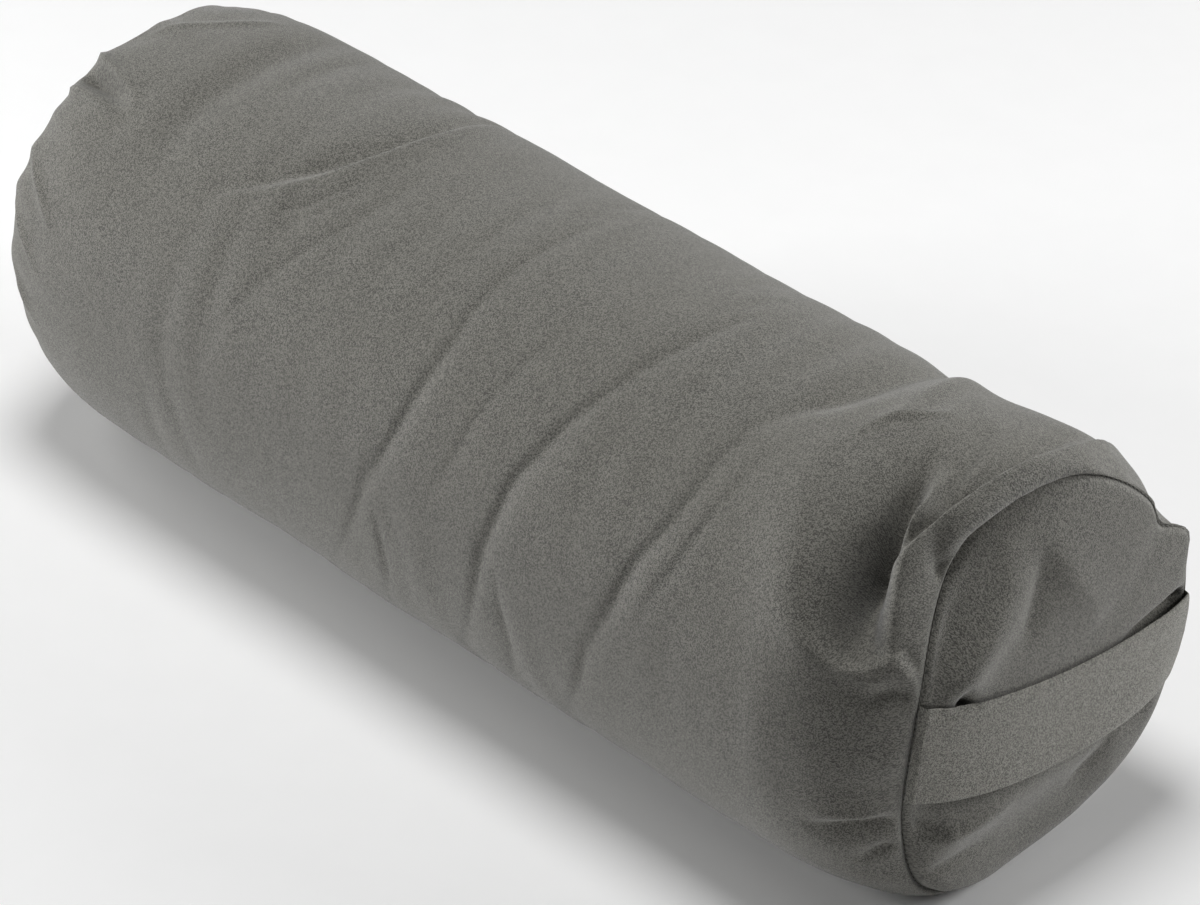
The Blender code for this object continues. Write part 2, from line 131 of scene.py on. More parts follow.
# Lengths of cloth from a seam at which the grids have their first points
SEAM_LIP = np.array((0, 0.0004, 0.0008, 0.0012, 0.0017, 0.0023, 0.0030, 0.0040))

# Folds fade out over these lengths at a seam of the tube, from a height above the floor, and at a
# disc's rim. Near the front seam they stand out from the roll's middle line, and less towards +X,
# by a share.
FOLD_SEAM_FADE = 0.005
FOLD_FLOOR_FROM = 0.001
FOLD_FLOOR_FADE = 0.02
FOLD_RIM_FADE = 0.012
FOLD_UPRIGHT = 0.65

# Unevenness of the cover: height of its long swells and of its short ripples, and for each seam's
# puckers the height, how far they reach from it, and the seed of their random draw. They start from
# nothing at the seam, over a length.
SWELL_HEIGHT = 0.0006
RIPPLE_HEIGHT = 0.00012
PUCKERS = ((FRONT, 0.0010, 0.020, 11), (REAR, 0.0016, 0.026, 12))
PUCKER_START = 0.004

# The cover's cloth settles over the stuffing: points along and round the simulated grid, frames,
# pressure from inside, how far inside the cover it starts, how much cloth it has to spare, how
# strongly a free point is drawn to its place, about how far it may move, over what length it is
# held beside a seam and above the floor, over what length its moves fade out at a seam, the number
# of steps in how strongly it is held, and its cloth's settings
SETTLE_GRID = (170, 150)
SETTLE_FRAMES = 20
SETTLE_PRESSURE = 4.0
SETTLE_SMALLER = 0.0008
SETTLE_SPARE = 0.002
SETTLE_HOLD = 0.15
SETTLE_MOST = 0.005
SETTLE_HELD_SEAM = 0.010
SETTLE_HELD_FLOOR = 0.012
SETTLE_FADE = 0.012
SETTLE_LEVELS = 20
SETTLE_CLOTH = {
    "quality": 6,
    "mass": 0.3,
    "tension_stiffness": 15.0,
    "compression_stiffness": 15.0,
    "shear_stiffness": 5.0,
    "bending_stiffness": 0.3,
    "shrink_min": -SETTLE_SPARE,
    "use_pressure": True,
    "uniform_pressure_force": SETTLE_PRESSURE,
    "vertex_group_mass": "held",
}

# The zip's line on the cover: a point on it, the way out, and the way down. Its slot runs along X.
# Beside it and a little past its ends the cover is pressed flat, and it fades to its own form over
# a length. What lies deeper than this inside isn't moved.
ZIP_MIDDLE = np.array((0.0, 0.112634, 0.093432))
ZIP_OUT = np.array((0.0, 0.996989, -0.077549))
ZIP_DOWN = np.array((0.0, -0.077549, -0.996989))
SLOT_FROM = -0.2046
SLOT_TO = 0.2231
SLOT_HALF = 0.006
ZIP_FLAT = 0.010
ZIP_FADE = 0.028
ZIP_END_FLAT = 0.003
ZIP_END_FADE = 0.018
ZIP_DEPTH = 0.020

# The zip's tapes: from and to across the zip, depth under the cover's face, thickness, how far they
# run past the slot, and points along them and across one face. Its coils: wire radius, middle and
# half width across, half height, depth, pitch, how far they stop short of the slot's ends, points
# in a turn and sides of the wire.
TAPE_FROM = 0.0008
TAPE_TO = 0.0138
TAPE_DEPTH = 0.0012
TAPE_THICKNESS = 0.0006
TAPE_BEYOND = 0.012
TAPE_GRID = (240, 15)
COIL_WIRE = 0.00027
COIL_MIDDLE = 0.00140
COIL_HALF = 0.00125
COIL_TALL = 0.00052
COIL_DEPTH = 0.00020
COIL_PITCH = 0.0015
COIL_SHORT = 0.0039
COIL_STEPS = 10
COIL_SIDES = 5

# Threads: length of a stitch, gap to the next, and radius, with the rings and sides of its rod. The
# end seams' lie in the groove, at a share of its depth. The zip's row stands off the slot's edge,
# turns its corners by a radius, and lies a little above the cover.
Stitch = namedtuple("Stitch", "length gap radius")
STITCH_RINGS = 6
STITCH_SIDES = 6
SEAM_STITCH = Stitch(0.0030, 0.0005, 0.00030)
BAG_STITCH = Stitch(0.0024, 0.0005, 0.00022)
ZIP_STITCH = Stitch(0.0027, 0.0008, 0.00040)
SEAM_STITCH_DEPTH = 0.88
ZIP_STITCH_OFF = 0.003
ZIP_STITCH_TURN = 0.002
ZIP_STITCH_LIFT = 0.0003

# The inner bag, its thread and the stuffing: how far inside the cover each is, and how far it stops
# short of the cover's seams. The points of their grids along, round and in from a disc's rim, how
# far their discs stay behind the cover's, the height of their middle line, from what share drawn in
# they are shortened, how far they stay off the floor, with a share of their inset, the thickness of
# the bag's cloth, and how deep the stuffing's unevenness is.
Inner = namedtuple("Inner", "inset short")
BAG = Inner(0.0044, 0.0060)
BAG_THREAD = Inner(0.0043, 0.0060)
STUFFING = Inner(0.0062, 0.0085)
INNER_GRID = (110, 120)
INNER_RINGS = 14
INNER_DISC_BACK = 0.004
INNER_MIDDLE_HEIGHT = 0.108
INNER_ENDS_FROM = 0.2
INNER_OFF_FLOOR = 0.0006
INNER_SINKS = 0.35
BAG_CLOTH = 0.0005
STUFFING_UNEVEN = 0.0006

# The strap: half its width in its middle and how much less at its +Y end, its thickness, the middle
# of its inner face, how far its middle line falls towards +Y and rises at both ends, how full each
# half bows out, how far its upper edge curls in and its lower edge stands out, how far the upper
# edge stands off at its +Y end, over what share of a half and how deep its sewn end is tucked in,
# and by what share its cloth is painted lighter than the cover's: painted light, for the light that
# the strap catches
STRAP_HALF_WIDTH = 0.0250
STRAP_NARROWS = 0.0024
STRAP_THICKNESS = 0.0020
STRAP_MIDDLE = np.array((0.3190, 0.0197, 0.0950))
STRAP_FALL = 0.0094
STRAP_RISE = 0.0054
STRAP_BOW = {-1: 2.5, 1: 3.2}
STRAP_CURL = 0.0020
STRAP_TILT = 0.0020
STRAP_GAP = 0.0015
STRAP_HELD = 0.02
STRAP_TUCK = 0.0012
STRAP_PAINTED_LIGHT = 1.42

# Over what share of a half the strap's edges come free of the seam, and from what share and over how
# much of it its upper edge stands off. The share of its thickness that its sewn end has, how far
# that end stands out from the seam, how far the strap stays off the disc, and how softly it does.
STRAP_EDGES_FREE = 0.25
STRAP_GAP_FROM = 0.45
STRAP_GAP_OVER = 0.3
STRAP_SEWN_THIN = 0.6
STRAP_SEAM_OUT = 0.0006
STRAP_OFF_DISC = 0.0009
STRAP_SOFT = 0.0006

# The strap's grid: points in its sewn end, in the rest of a half, and round it. Powers of its loop:
# a low one makes its edges fuller, or its faces flatter.
STRAP_ROWS = (9, 62)
STRAP_COLUMNS = 64
STRAP_EDGE_POWER = 0.3
STRAP_FACE_POWER = 0.7

# The camera, and the lights: name, place, size and power
CAMERA_PLACE = Vector((1.5154, -1.4340, 1.5506))
CAMERA_TARGET = Vector((0.0189, 0.0127, 0.0932))
CAMERA_LENS = 154.47
LIGHT_TARGET = Vector((0.0, 0.0, 0.1))
LIGHTS = (
    ("key", (-1.6, -0.6, 1.5), 0.9, 6.0),
    ("low key", (-1.6, -1.2, 0.6), 0.9, 27.0),
    ("top", (-0.1, 0.0, 2.4), 1.0, 33.0),
    ("rim", (1.6, 1.4, 1.2), 1.0, 16.0),
    ("low rim", (1.0, 2.0, 0.6), 1.0, 20.0),
)
WORLD_STRENGTH = 0.015
FLOOR_HALF = 6.0

Fold = namedtuple("Fold", "path behind ahead power")

# Folds in the cover. Each point of a path is (millimetres along the cloth from the roll's middle,
# degrees round it from +Y over the top, height in millimetres). behind and ahead are the widths in
# millimetres of the sides towards -X and towards +X, and a low power makes a sharper line.
COVER_FOLDS = {
    "crease across the rear top, its valley": Fold(
        ((-176, 131, 0), (-162, 125, -0.8), (-149, 119.5, -1.6), (-136, 113, -2.8),
         (-125, 105, -3.8), (-116, 97, -4), (-112, 87, -3.8), (-111, 75, -2.8), (-117, 50, 0)),
        9, 3.0, 1.4),
    "crease across the rear top, its ridge": Fold(
        ((-170, 132, 0), (-158, 126.5, 0.7), (-145, 121.5, 1.2), (-132, 115.5, 1.7),
         (-121, 108.5, 2.3), (-112, 99, 2.5), (-107, 90, 2.4), (-105, 77, 1.8), (-111, 50, 0)),
        2.4, 9, 1.3),
    "line beside that crease": Fold(
        ((-134, 128, 0), (-124, 121.5, -1.1), (-115, 117, -1.4), (-107, 109.5, -1.2),
         (-99, 100, 0)),
        2.2, 4, 1.2),
    "second line beside that crease": Fold(
        ((-122, 127, 0), (-112, 121, -0.9), (-102, 113, -0.9), (-92, 102, 0)),
        2.2, 4, 1.2),
    "long line down the rear side": Fold(
        ((-134, 168, 0), (-126, 157, -0.4), (-113, 142, -0.6), (-100, 130, -0.8),
         (-84, 111, -0.7), (-79, 85, 0)),
        2.4, 5, 1.2),
    "soft fold down the rear side": Fold(
        ((-128, 165, 0), (-116, 148, -0.2), (-100, 130, -0.3), (-84, 111, 0)),
        12, 10, 1.9),
    "middle line": Fold(
        ((-24, 190, 0), (-15, 177, -1.1), (-5, 166, -1.7), (1, 156, -2.2), (5, 145, -2.0),
         (8, 132, -1.7), (6, 112, -1.2), (7, 90, -0.7), (8, 70, 0)),
        2.8, 8, 1.2),
    "middle swell": Fold(
        ((-6, 180, 0), (7, 160, 0.5), (16, 140, 0.6), (14, 115, 0)),
        12, 14, 1.9),
    "long line ahead of the middle": Fold(
        ((58, 192, 0), (66, 178, -1.6), (73, 165, -2.2), (78, 152, -2.5), (85, 144, -2.3),
         (91, 133, -1.8), (100, 120, -1.2), (112, 97, -0.8), (120, 75, 0)),
        2.8, 8, 1.2),
    "swell ahead of it": Fold(
        ((70, 186, 0), (84, 165, 0.6), (96, 145, 0.6), (108, 120, 0)),
        9, 15, 1.9),
    "line towards the strap end": Fold(
        ((128, 200, 0), (138, 184, -1.2), (151, 171, -2.0), (156, 163, -2.5), (161, 154, -2.4),
         (169, 144, -2.0), (173, 134, -1.5), (174, 115, -0.8), (176, 100, 0)),
        2.8, 8, 1.2),
    "swell ahead of the strap-end line": Fold(
        ((140, 196, 0), (163, 168, 0.6), (177, 146, 0.6), (184, 122, 0)),
        8, 15, 1.9),
    "short line beside it": Fold(
        ((168, 174, 0), (175, 161, -1.0), (183, 150, -1.3), (190, 130, -0.9), (193, 112, 0)),
        2.4, 6, 1.2),
    "low fold behind the middle line": Fold(
        ((-60, 214, 0), (-38, 200, -0.7), (-24, 186, -1.0), (-16, 174, -0.7), (-12, 160, 0)),
        2.2, 4, 1.25),
    "low fold under the middle line": Fold(
        ((-18, 216, 0), (-6, 202, -0.8), (-4, 190, -1.1), (-8, 178, 0)),
        2.2, 4, 1.25),
    "low fold ahead of the middle": Fold(
        ((36, 216, 0), (50, 202, -0.9), (60, 190, -1.2), (66, 178, -0.7), (64, 166, 0)),
        2.2, 4, 1.25),
    "second low fold ahead of the middle": Fold(
        ((72, 216, 0), (82, 200, -0.9), (80, 186, -0.9), (76, 172, 0)),
        2.2, 4, 1.25),
    "low fold towards the strap end": Fold(
        ((112, 214, 0), (124, 202, -0.8), (134, 190, -1.0), (140, 178, 0)),
        2.2, 4, 1.25),
    "fine line between the long ones": Fold(
        ((28, 172, 0), (38, 158, -0.8), (44, 142, -0.9), (52, 124, -0.6), (58, 108, 0)),
        2.4, 6, 1.2),
    "dark fold over the top": Fold(
        ((180, 25, 0), (190, 50, -2.8), (196, 77, -4.6), (193, 91, -4.0), (184, 99, -2.2),
         (176, 112, 0)),
        11, 7, 1.5),
    "ridge ahead of it": Fold(
        ((192, 25, 0), (200, 46, 2.2), (213, 68, 3.2), (220, 84, 1.8), (224, 98, 0)),
        7, 9, 1.8),
    "thin ridge on the shoulder": Fold(
        ((216, 108, 0), (217, 98, 1.0), (220, 91, 2.4), (226, 86, 2.6), (235, 81, 1.4),
         (244, 76, 0)),
        9, 2.4, 1.2),
    "hollow behind the roll of cloth": Fold(
        ((244, 84, 0), (253, 95, -6), (259, 102, -11), (265, 111, -16), (270, 120, -20),
         (275, 129, -20), (280, 138, -16), (286, 146, -9), (292, 152, 0)),
        15, 6.5, 1.9),
    "steep core of the hollow": Fold(
        ((250, 90, 0), (256, 99, -4), (262, 106, -9), (267, 113, -14), (272, 120, -19),
         (277, 128, -21), (283, 138, -17), (288, 147, -9), (291, 152, 0)),
        9, 4.5, 1.6),
    "shade above the hollow": Fold(
        ((250, 70, 0), (262, 84, -3.0), (268, 93, -4.5), (272, 103, -3.0), (276, 112, 0)),
        9, 4, 1.5),
    "swell beside the hollow": Fold(
        ((200, 100, 0), (214, 112, 3.6), (232, 126, 7), (250, 140, 7), (268, 153, 4),
         (282, 162, 0)),
        22, 11, 2),
    "ridge under the hollow": Fold(
        ((246, 144, 0), (257, 149, 2), (270, 151, 3), (282, 153.5, 3.4), (292, 156, 3),
         (299, 157, 0)),
        6, 6, 1.6),
    "light band above the hollow": Fold(
        ((222, 58, 0), (231, 72, 2.0), (240, 82, 2.8), (248, 89, 2.4), (256, 97, 1.2),
         (262, 104, 0)),
        9, 4, 1.5),
    "roll of cloth over the seam": Fold(
        ((275, 131, 0), (281, 124, 6), (285, 115, 9), (289, 105, 9.5), (292, 93, 9),
         (292, 81, 8.5), (289, 68, 7.5), (283, 54, 5.5), (279, 36, 0)),
        3.4, 11, 1.3),
    "shelf of cloth over the seam": Fold(
        ((290, 132, 0), (295, 122, 2.5), (298, 111, 4.5), (299, 100, 5.0), (299, 88, 4.0),
         (298, 76, 2.8), (294, 62, 2.0), (288, 50, 0)),
        8, 5, 2.0),
    "valley behind the roll": Fold(
        ((276, 108, 0), (279, 100, -6), (281, 88, -7), (280, 76, -4.5), (275, 62, -2),
         (269, 48, 0)),
        13, 3, 1.6),
    "narrow valley in the gather": Fold(
        ((279, 124, 0), (280, 119, -4), (281, 113, -7), (281.5, 106, -7), (281, 98, -3),
         (280, 92, 0)),
        3.5, 2.6, 1.4),
    "swell of the far shoulder": Fold(
        ((190, 40, 0), (230, 42, 3.0), (268, 44, 6.5), (290, 44, 5.0), (304, 44, 0)),
        30, 30, 2.0),
    "second ridge in the hollow": Fold(
        ((277, 125, 0), (275, 121, 6), (274, 114, 8), (271, 106, 7), (267, 99, 4), (262, 91, 0)),
        4, 2.8, 1.5),
    "band between hollow and seam": Fold(
        ((274, 118, 0), (281, 125, 5), (289, 136, 6), (294, 147, 5), (298, 153, 3),
         (303, 158, 0)),
        6, 9, 1.8),
    "pleat in the roll": Fold(
        ((286, 110, 0), (291, 115, -3.5), (297, 121, -5), (302, 125, -3.6), (306, 128, -1.2),
         (308, 130, 0)),
        3.5, 4, 1.7),
    "rib towards the strap": Fold(
        ((296, 147, 0), (299, 150.5, 2.2), (303, 155, 3.2), (307, 160, 3), (309, 163, 0)),
        2.6, 2.6, 1.4),
    "notch above the rib": Fold(
        ((299, 145, 0), (302, 149, -2.4), (305, 153, -3.4), (308, 157, -2.5), (310, 160, 0)),
        2.4, 2.4, 1.3),
    "dip under the rib": Fold(
        ((290, 164, 0), (298, 160, -2.6), (303, 161, -3.2), (307, 164, -2.5), (310, 168, 0)),
        5, 4, 1.5),
    "crease low beside the seam": Fold(
        ((270, 199, 0), (282, 198, -3), (292, 198, -5), (300, 198, -5), (306, 197.5, 0)),
        2.4, 8, 1.3),
    "ridge over that crease": Fold(
        ((272, 195, 0), (284, 194.5, 1.5), (296, 194.3, 2.4), (304, 194, 0)),
        6, 2.4, 1.3),
    "pucker low beside the seam": Fold(
        ((290, 214, 0), (296, 210, -3.4), (301, 208, -4), (306, 208, 0)),
        4, 2.6, 1.2),
    "notch at the rear seam": Fold(
        ((-304, 117, 0), (-292, 117.5, -9), (-280, 117.5, -8.4), (-264, 118, -4.4),
         (-248, 119.5, 0)),
        3.6, 4.5, 1.4),
    "ridge behind that notch": Fold(
        ((-303, 109, 0), (-292, 111, 5.4), (-278, 112.2, 4.6), (-262, 114, 2.6), (-248, 116, 0)),
        4, 4, 1.5),
    "ridge ahead of that notch": Fold(
        ((-303, 124, 0), (-290, 123, 5.4), (-276, 122.5, 4.2), (-260, 123, 2), (-246, 124, 0)),
        4, 4, 1.4),
    "upper ridge at the rear seam": Fold(
        ((-302, 143, 0), (-288, 149, 2.6), (-274, 154, 2.4), (-258, 162, 0)),
        3, 4, 1.3),
    "lower ridge at the rear seam": Fold(
        ((-303, 160, 0), (-293, 164, 2.4), (-282, 169, 2.2), (-266, 177, 0)),
        3, 4, 1.3),
    "lowest ridge at the rear seam": Fold(
        ((-303, 178, 0), (-294, 182, 2.0), (-284, 187, 1.6), (-270, 195, 0)),
        3, 4, 1.3),
    "line on the rear top": Fold(
        ((-292, 97, 0), (-282, 91, 1.6), (-260, 78, 1.8), (-250, 65, 0)),
        3, 3, 1.2),
    "band down from the rear top": Fold(
        ((-232, 45, 0), (-222, 71, -2.6), (-217, 87, -3.2), (-216, 98, -3.2), (-216, 108, -3),
         (-215, 118, -2.4), (-210, 128, -1.4), (-200, 142, 0)),
        12, 12, 1.9),
    "second band from the rear top": Fold(
        ((-204, 45, 0), (-198, 66, -1.2), (-192, 85, -1.2), (-190, 102, 0)),
        8, 8, 1.7),
}


# Folds in the strap-end disc: each point is (millimetres towards +Y, millimetres up, height), and
# behind and ahead are the widths towards -Y and +Y
DISC_FOLDS = {
    "pale ridge up the disc": Fold(
        ((-58, 132, 0), (-53, 140, 4), (-45, 148, 7), (-34, 157, 7.5), (-23, 166, 6.5),
         (-13, 175, 4.5), (-6, 188, 2), (-2, 202, 0)),
        8, 14, 1.9),
    "dent left of it": Fold(
        ((-70, 134, 0), (-64, 148, -7), (-57, 163, -9), (-48, 176, -7), (-40, 188, -3),
         (-36, 198, 0)),
        12, 9, 1.8),
    "dent right of it": Fold(
        ((-8, 142, 0), (-3, 153, -2.6), (3, 164, -3.4), (9, 176, -2.8), (11, 190, 0)),
        7, 8, 1.6),
    "second ridge": Fold(
        ((12, 196, 0), (20, 180, 1.6), (29, 161, 2.2), (40, 144, 1.6), (46, 134, 0)),
        9, 12, 1.7),
    "pucker at the strap": Fold(
        ((-46, 124, -3), (-45, 130, -5), (-45, 134, -4), (-43, 142, 0)),
        4, 3.5, 1.4),
    "dark fold under the strap": Fold(
        ((-84, 90, 0), (-77, 83, -5), (-71, 76, -7), (-64, 69, -6.5), (-55, 61, -4),
         (-46, 58, 0)),
        6, 5, 1.4),
    "low ridge": Fold(
        ((-68, 56, 0), (-57, 57, 4.5), (-49, 56, 5.5), (-42, 55, 5), (-34, 55, 4),
         (-22, 55, 2.5), (-4, 54, 0)),
        9, 4, 1.5),
    "lower disc turned under": Fold(
        ((-60, 40, 0), (-30, 37, -3), (10, 35, -4), (45, 37, -3), (66, 39, 0)),
        16, 18, 2),
    "shade along the strap's lower edge": Fold(
        ((-68, 80, 0), (-50, 77, -3), (-14, 71, -5), (21, 68, -5), (55, 64, -5), (80, 63, -3),
         (90, 62, 0)),
        8, 6, 1.7),
    "gap behind the strap's +Y end": Fold(
        ((54, 111, 0), (66, 112, -3), (78, 112.5, -6), (90, 113, -8.5), (102, 114, -10),
         (112, 115, -9)),
        4.5, 4, 2),
    "line under the low ridge": Fold(
        ((-66, 30, 0), (-52, 36, -2.2), (-34, 38, -2.2), (-10, 36, 0)),
        4, 4, 1.4),
    "lower right fold": Fold(
        ((66, 58, 0), (58, 50, -1.8), (48, 43, -2.2), (34, 38, 0)),
        5, 5, 1.5),
}

# Straight stretches that a fold's line is divided into, and how many widths from it a fold ends
FOLD_STEPS = 28
FOLD_REACH = 3.2


# Meshes

def mesh_object(name, points, faces, uv=None):
    """Links a mesh from arrays of points and faces, shaded smooth, with one UV per face corner."""
    mesh = bpy.data.meshes.new(name)
    mesh.from_pydata(points.reshape(-1, 3), [], faces)
    if uv is not None:
        layer = mesh.uv_layers.new(name="cloth")
        layer.data.foreach_set("uv", uv.astype(np.float32).ravel())
    mesh.shade_smooth()
    obj = bpy.data.objects.new(name, mesh)
    bpy.context.scene.collection.objects.link(obj)
    return obj


def grid_faces(rows, columns):
    """Quads over a grid of points: (row, column), next column, next row and column, next row.

    The last column joins the first.
    """
    row, column = np.meshgrid(np.arange(rows - 1), np.arange(columns), indexing="ij")
    after = (column + 1) % columns
    here, below = row * columns, (row + 1) * columns
    return np.stack((here + column, here + after, below + after, below + column), axis=-1)


def grid_corners(along, across):
    """The UV of each corner of the same quads, from the lengths of the grid's rows and columns.

    There is one length across more than there are columns.
    """
    uv = np.stack(np.meshgrid(along, across, indexing="ij"), axis=-1)
    return np.stack((uv[:-1, :-1], uv[:-1, 1:], uv[1:, 1:], uv[1:, :-1]), axis=2)


def tube_caps(rows, count):
    """The two faces that close the ends of a tube of these rows, each a ring of count points."""
    return [list(range(count))[::-1], list(range((rows - 1) * count, rows * count))]


def add_solidify(obj, thickness):
    """Gives an open cloth surface its thickness, on its inner side."""
    solidify = obj.modifiers.new("cloth", "SOLIDIFY")
    solidify.thickness = thickness
    solidify.offset = -1.0


# Sums used by every piece

def smooth_step(value):
    """Smooth rise from 0 to 1: 3 v^2 - 2 v^3, with v cut off at 0 and 1."""
    value = np.clip(value, 0.0, 1.0)
    return value * value * (3 - 2 * value)


def running(steps):
    """The running sum of some steps, from 0."""
    return np.concatenate(([0.0], np.cumsum(steps)))


def lengths_along(points):
    """Length from the first point of a row of points to each of them."""
    return running(np.linalg.norm(np.diff(points, axis=0), axis=1))


def unit(vectors):
    """The vectors divided by their lengths."""
    return vectors / np.maximum(np.linalg.norm(vectors, axis=-1, keepdims=True), 1e-12)


# The roll's formula

def end_turn(end):
    """How cloth runs on past the straight part: tables of length, distance along X and share.

    The end is drawn in along a quarter ellipse: distance = draw_in x sin(a), share = 1 - cos(a),
    and length is the sum of the steps along that curve.
    """
    angle = np.linspace(0, np.pi / 2, 600)
    ahead = end.draw_in * np.sin(angle)
    share = 1 - np.cos(angle)
    depth = (BODY_WIDTH - end.width) / 2
    return running(np.hypot(np.diff(ahead), depth * np.diff(share))), ahead, share


def seam_along(end):
    """The seam's place in length along the cloth from the roll's middle."""
    return end.x - end.side * end.draw_in + end.side * end_turn(end)[0][-1]


def drawn_in(along, end):
    """(distance past the straight part along X, share drawn in) at a length along the cloth."""
    lengths, ahead, share = end_turn(end)
    beyond = end.side * along - (end.side * end.x - end.draw_in)
    return np.interp(beyond, lengths, ahead), np.interp(beyond, lengths, share)


def roll_section(theta, front, rear):
    """The (y, z) of the roll's outline at an angle from +Y over the top, for two shares drawn in.

    Each quarter is a superellipse about the widest height. The lower ones start a foot's width
    out, reach a little under the floor and are cut off by it, which leaves the flat it rests on.
    """
    half = (BODY_WIDTH - front * (BODY_WIDTH - FRONT.width) - rear * (BODY_WIDTH - REAR.width)) / 2
    top = BODY_HEIGHT - front * (BODY_HEIGHT - FRONT.top) - rear * (BODY_HEIGHT - REAR.top)
    base = front * FRONT.base + rear * REAR.base
    cos, sin = np.cos(theta), np.sin(theta)
    across = np.abs(cos)
    upper = np.sign(cos) * half * across ** (2 / TOP_POWER)
    foot = FOOT * smooth_step(across / FOOT_ROUND)
    lower = np.sign(cos) * (foot + (half - FOOT) * across ** (2 / BASE_POWER))
    rise = WIDEST_HEIGHT + (top - WIDEST_HEIGHT) * np.abs(sin) ** (2 / TOP_POWER)
    press = REST_PRESS * (1 - np.maximum(front, rear))
    fall = WIDEST_HEIGHT - (WIDEST_HEIGHT - base + press) * np.abs(sin) ** (2 / BASE_POWER)
    y = np.where(sin >= 0, upper, lower) + front * FRONT.shift + rear * REAR.shift
    return y, np.where(sin >= 0, rise, np.maximum(fall, base))


def roll_surface(along, theta):
    """Points of the smooth roll at lengths along the cloth and angles, as a grid [along, theta, 3].

    The front seam leans, its two sides standing further out along X than its top and base, and it
    waves along X and in radius. Its underside is tucked back along X and held off the floor.
    """
    along, theta = along[:, None], theta[None, :]
    front_x, front = drawn_in(along, FRONT)
    rear_x, rear = drawn_in(along, REAR)
    low, high = REAR.x + REAR.draw_in, FRONT.x - FRONT.draw_in
    x = np.clip(along, low, high) + front_x - rear_x
    lean, swell = FRONT.lean * np.cos(theta) ** 2, SEAM_SHRINK
    for turns, (lean_cos, lean_sin, swell_cos, swell_sin) in enumerate(SEAM_WAVES, 1):
        lean = lean + lean_cos * np.cos(turns * theta) + lean_sin * np.sin(turns * theta)
        swell = swell + swell_cos * np.cos(turns * theta) + swell_sin * np.sin(turns * theta)
    corners = 0.0
    for middle, width, out in SEAM_CORNERS:
        turn = (theta - np.radians(middle) + np.pi) % (2 * np.pi) - np.pi
        corners = corners + out * np.exp(-((turn / np.radians(width)) ** 2))
    under = np.clip(-np.sin(theta), 0, 1) ** 6
    x = x + lean * front**1.5 - SEAM_UNDERCUT * under * front**2
    y, z = roll_section(theta, front, rear)
    swell = 1 + swell * front + corners * front**4
    y = FRONT.shift * front + (y - FRONT.shift * front) * swell
    z = np.maximum(SEAM_CENTRE_HEIGHT + (z - SEAM_CENTRE_HEIGHT) * swell, 0.0)
    z = z + SEAM_LIFT * under * front**6
    return np.stack(np.broadcast_arrays(x, y, z), axis=-1)


def flattened_at_zip(points):
    """The roll pressed flat along the zip: near its line a point moves onto the zip's own plane."""
    offset = points - ZIP_MIDDLE
    height, down = offset @ ZIP_OUT, offset @ ZIP_DOWN
    share = smooth_step((ZIP_FADE - np.abs(down)) / (ZIP_FADE - ZIP_FLAT))
    middle, half = (SLOT_FROM + SLOT_TO) / 2, (SLOT_TO - SLOT_FROM) / 2
    past = np.abs(points[..., 0] - middle) - half - ZIP_END_FLAT
    share = share * smooth_step(1 - past / ZIP_END_FADE)
    share = np.where(height > -ZIP_DEPTH, share, 0.0)
    return points - (height * share)[..., None] * ZIP_OUT, share


def outward(points):
    """Unit normals of a grid closed along its second axis: the cross product of its two steps."""
    around = np.roll(points, -1, axis=1) - np.roll(points, 1, axis=1)
    return unit(np.cross(around, np.gradient(points, axis=0)))


def arc_table():
    """Length round the straight part of the roll against angle, and its whole girth."""
    theta = np.linspace(0, 2 * np.pi, 7201)
    y, z = roll_section(theta, 0.0, 0.0)
    return theta, running(np.hypot(np.diff(y), np.diff(z)))


THETA_TABLE, ARC_TABLE = arc_table()
GIRTH = ARC_TABLE[-1]


def arc_at(theta):
    """Length round the straight part of the roll at an angle."""
    return np.interp(theta % (2 * np.pi), THETA_TABLE, ARC_TABLE)


def theta_at(arc):
    """Angle at a length round the straight part of the roll."""
    return np.interp(arc % GIRTH, ARC_TABLE, THETA_TABLE)


def even_angles(count):
    """Angles at even lengths round the roll, from +Y once round."""
    return theta_at(np.linspace(0, GIRTH, count + 1)[:-1])


def slot_arcs():
    """The two lengths round the roll where the zip's slot has its edges, the lower one first."""
    arc = np.linspace(-0.04, 0.02, 6001)
    y, z = roll_section(theta_at(arc), 0.0, 0.0)
    down = np.stack((0 * y, y, z), axis=-1) @ ZIP_DOWN - ZIP_MIDDLE @ ZIP_DOWN
    return np.interp((SLOT_HALF, -SLOT_HALF), down[::-1], arc[::-1])


def lumps(along, arc, count, lengths, most_round, seed):
    """Soft unevenness: sine waves of random direction and start, each whole round the roll.

    Their sum is divided by the root of their number.
    """
    random = np.random.default_rng(seed)
    total = 0.0
    for _ in range(count):
        pace = 2 * np.pi / random.uniform(*lengths) * random.choice((-1, 1))
        turns = random.integers(-most_round, most_round + 1)
        start = random.uniform(0, 2 * np.pi)
        total = total + np.sin(pace * along + 2 * np.pi * turns * arc / GIRTH + start)
    return total / np.sqrt(count)


def fold_height(fold, along, arc):
    """Height of one fold over the tube, whose line may cross the angle at which the roll starts."""
    marks = np.array(fold.path, float)
    arcs = arc_at(np.radians(marks[:, 1]))
    arcs = arcs[0] + running((np.diff(arcs) + GIRTH / 2) % GIRTH - GIRTH / 2)
    nodes = np.stack((marks[:, 0] / 1000, arcs, marks[:, 2] / 1000), axis=1)
    line = smooth_line(nodes, FOLD_STEPS)
    arc = line[:, 1].mean() + (arc - line[:, 1].mean() + GIRTH / 2) % GIRTH - GIRTH / 2
    return line_height(line, fold, along, arc)


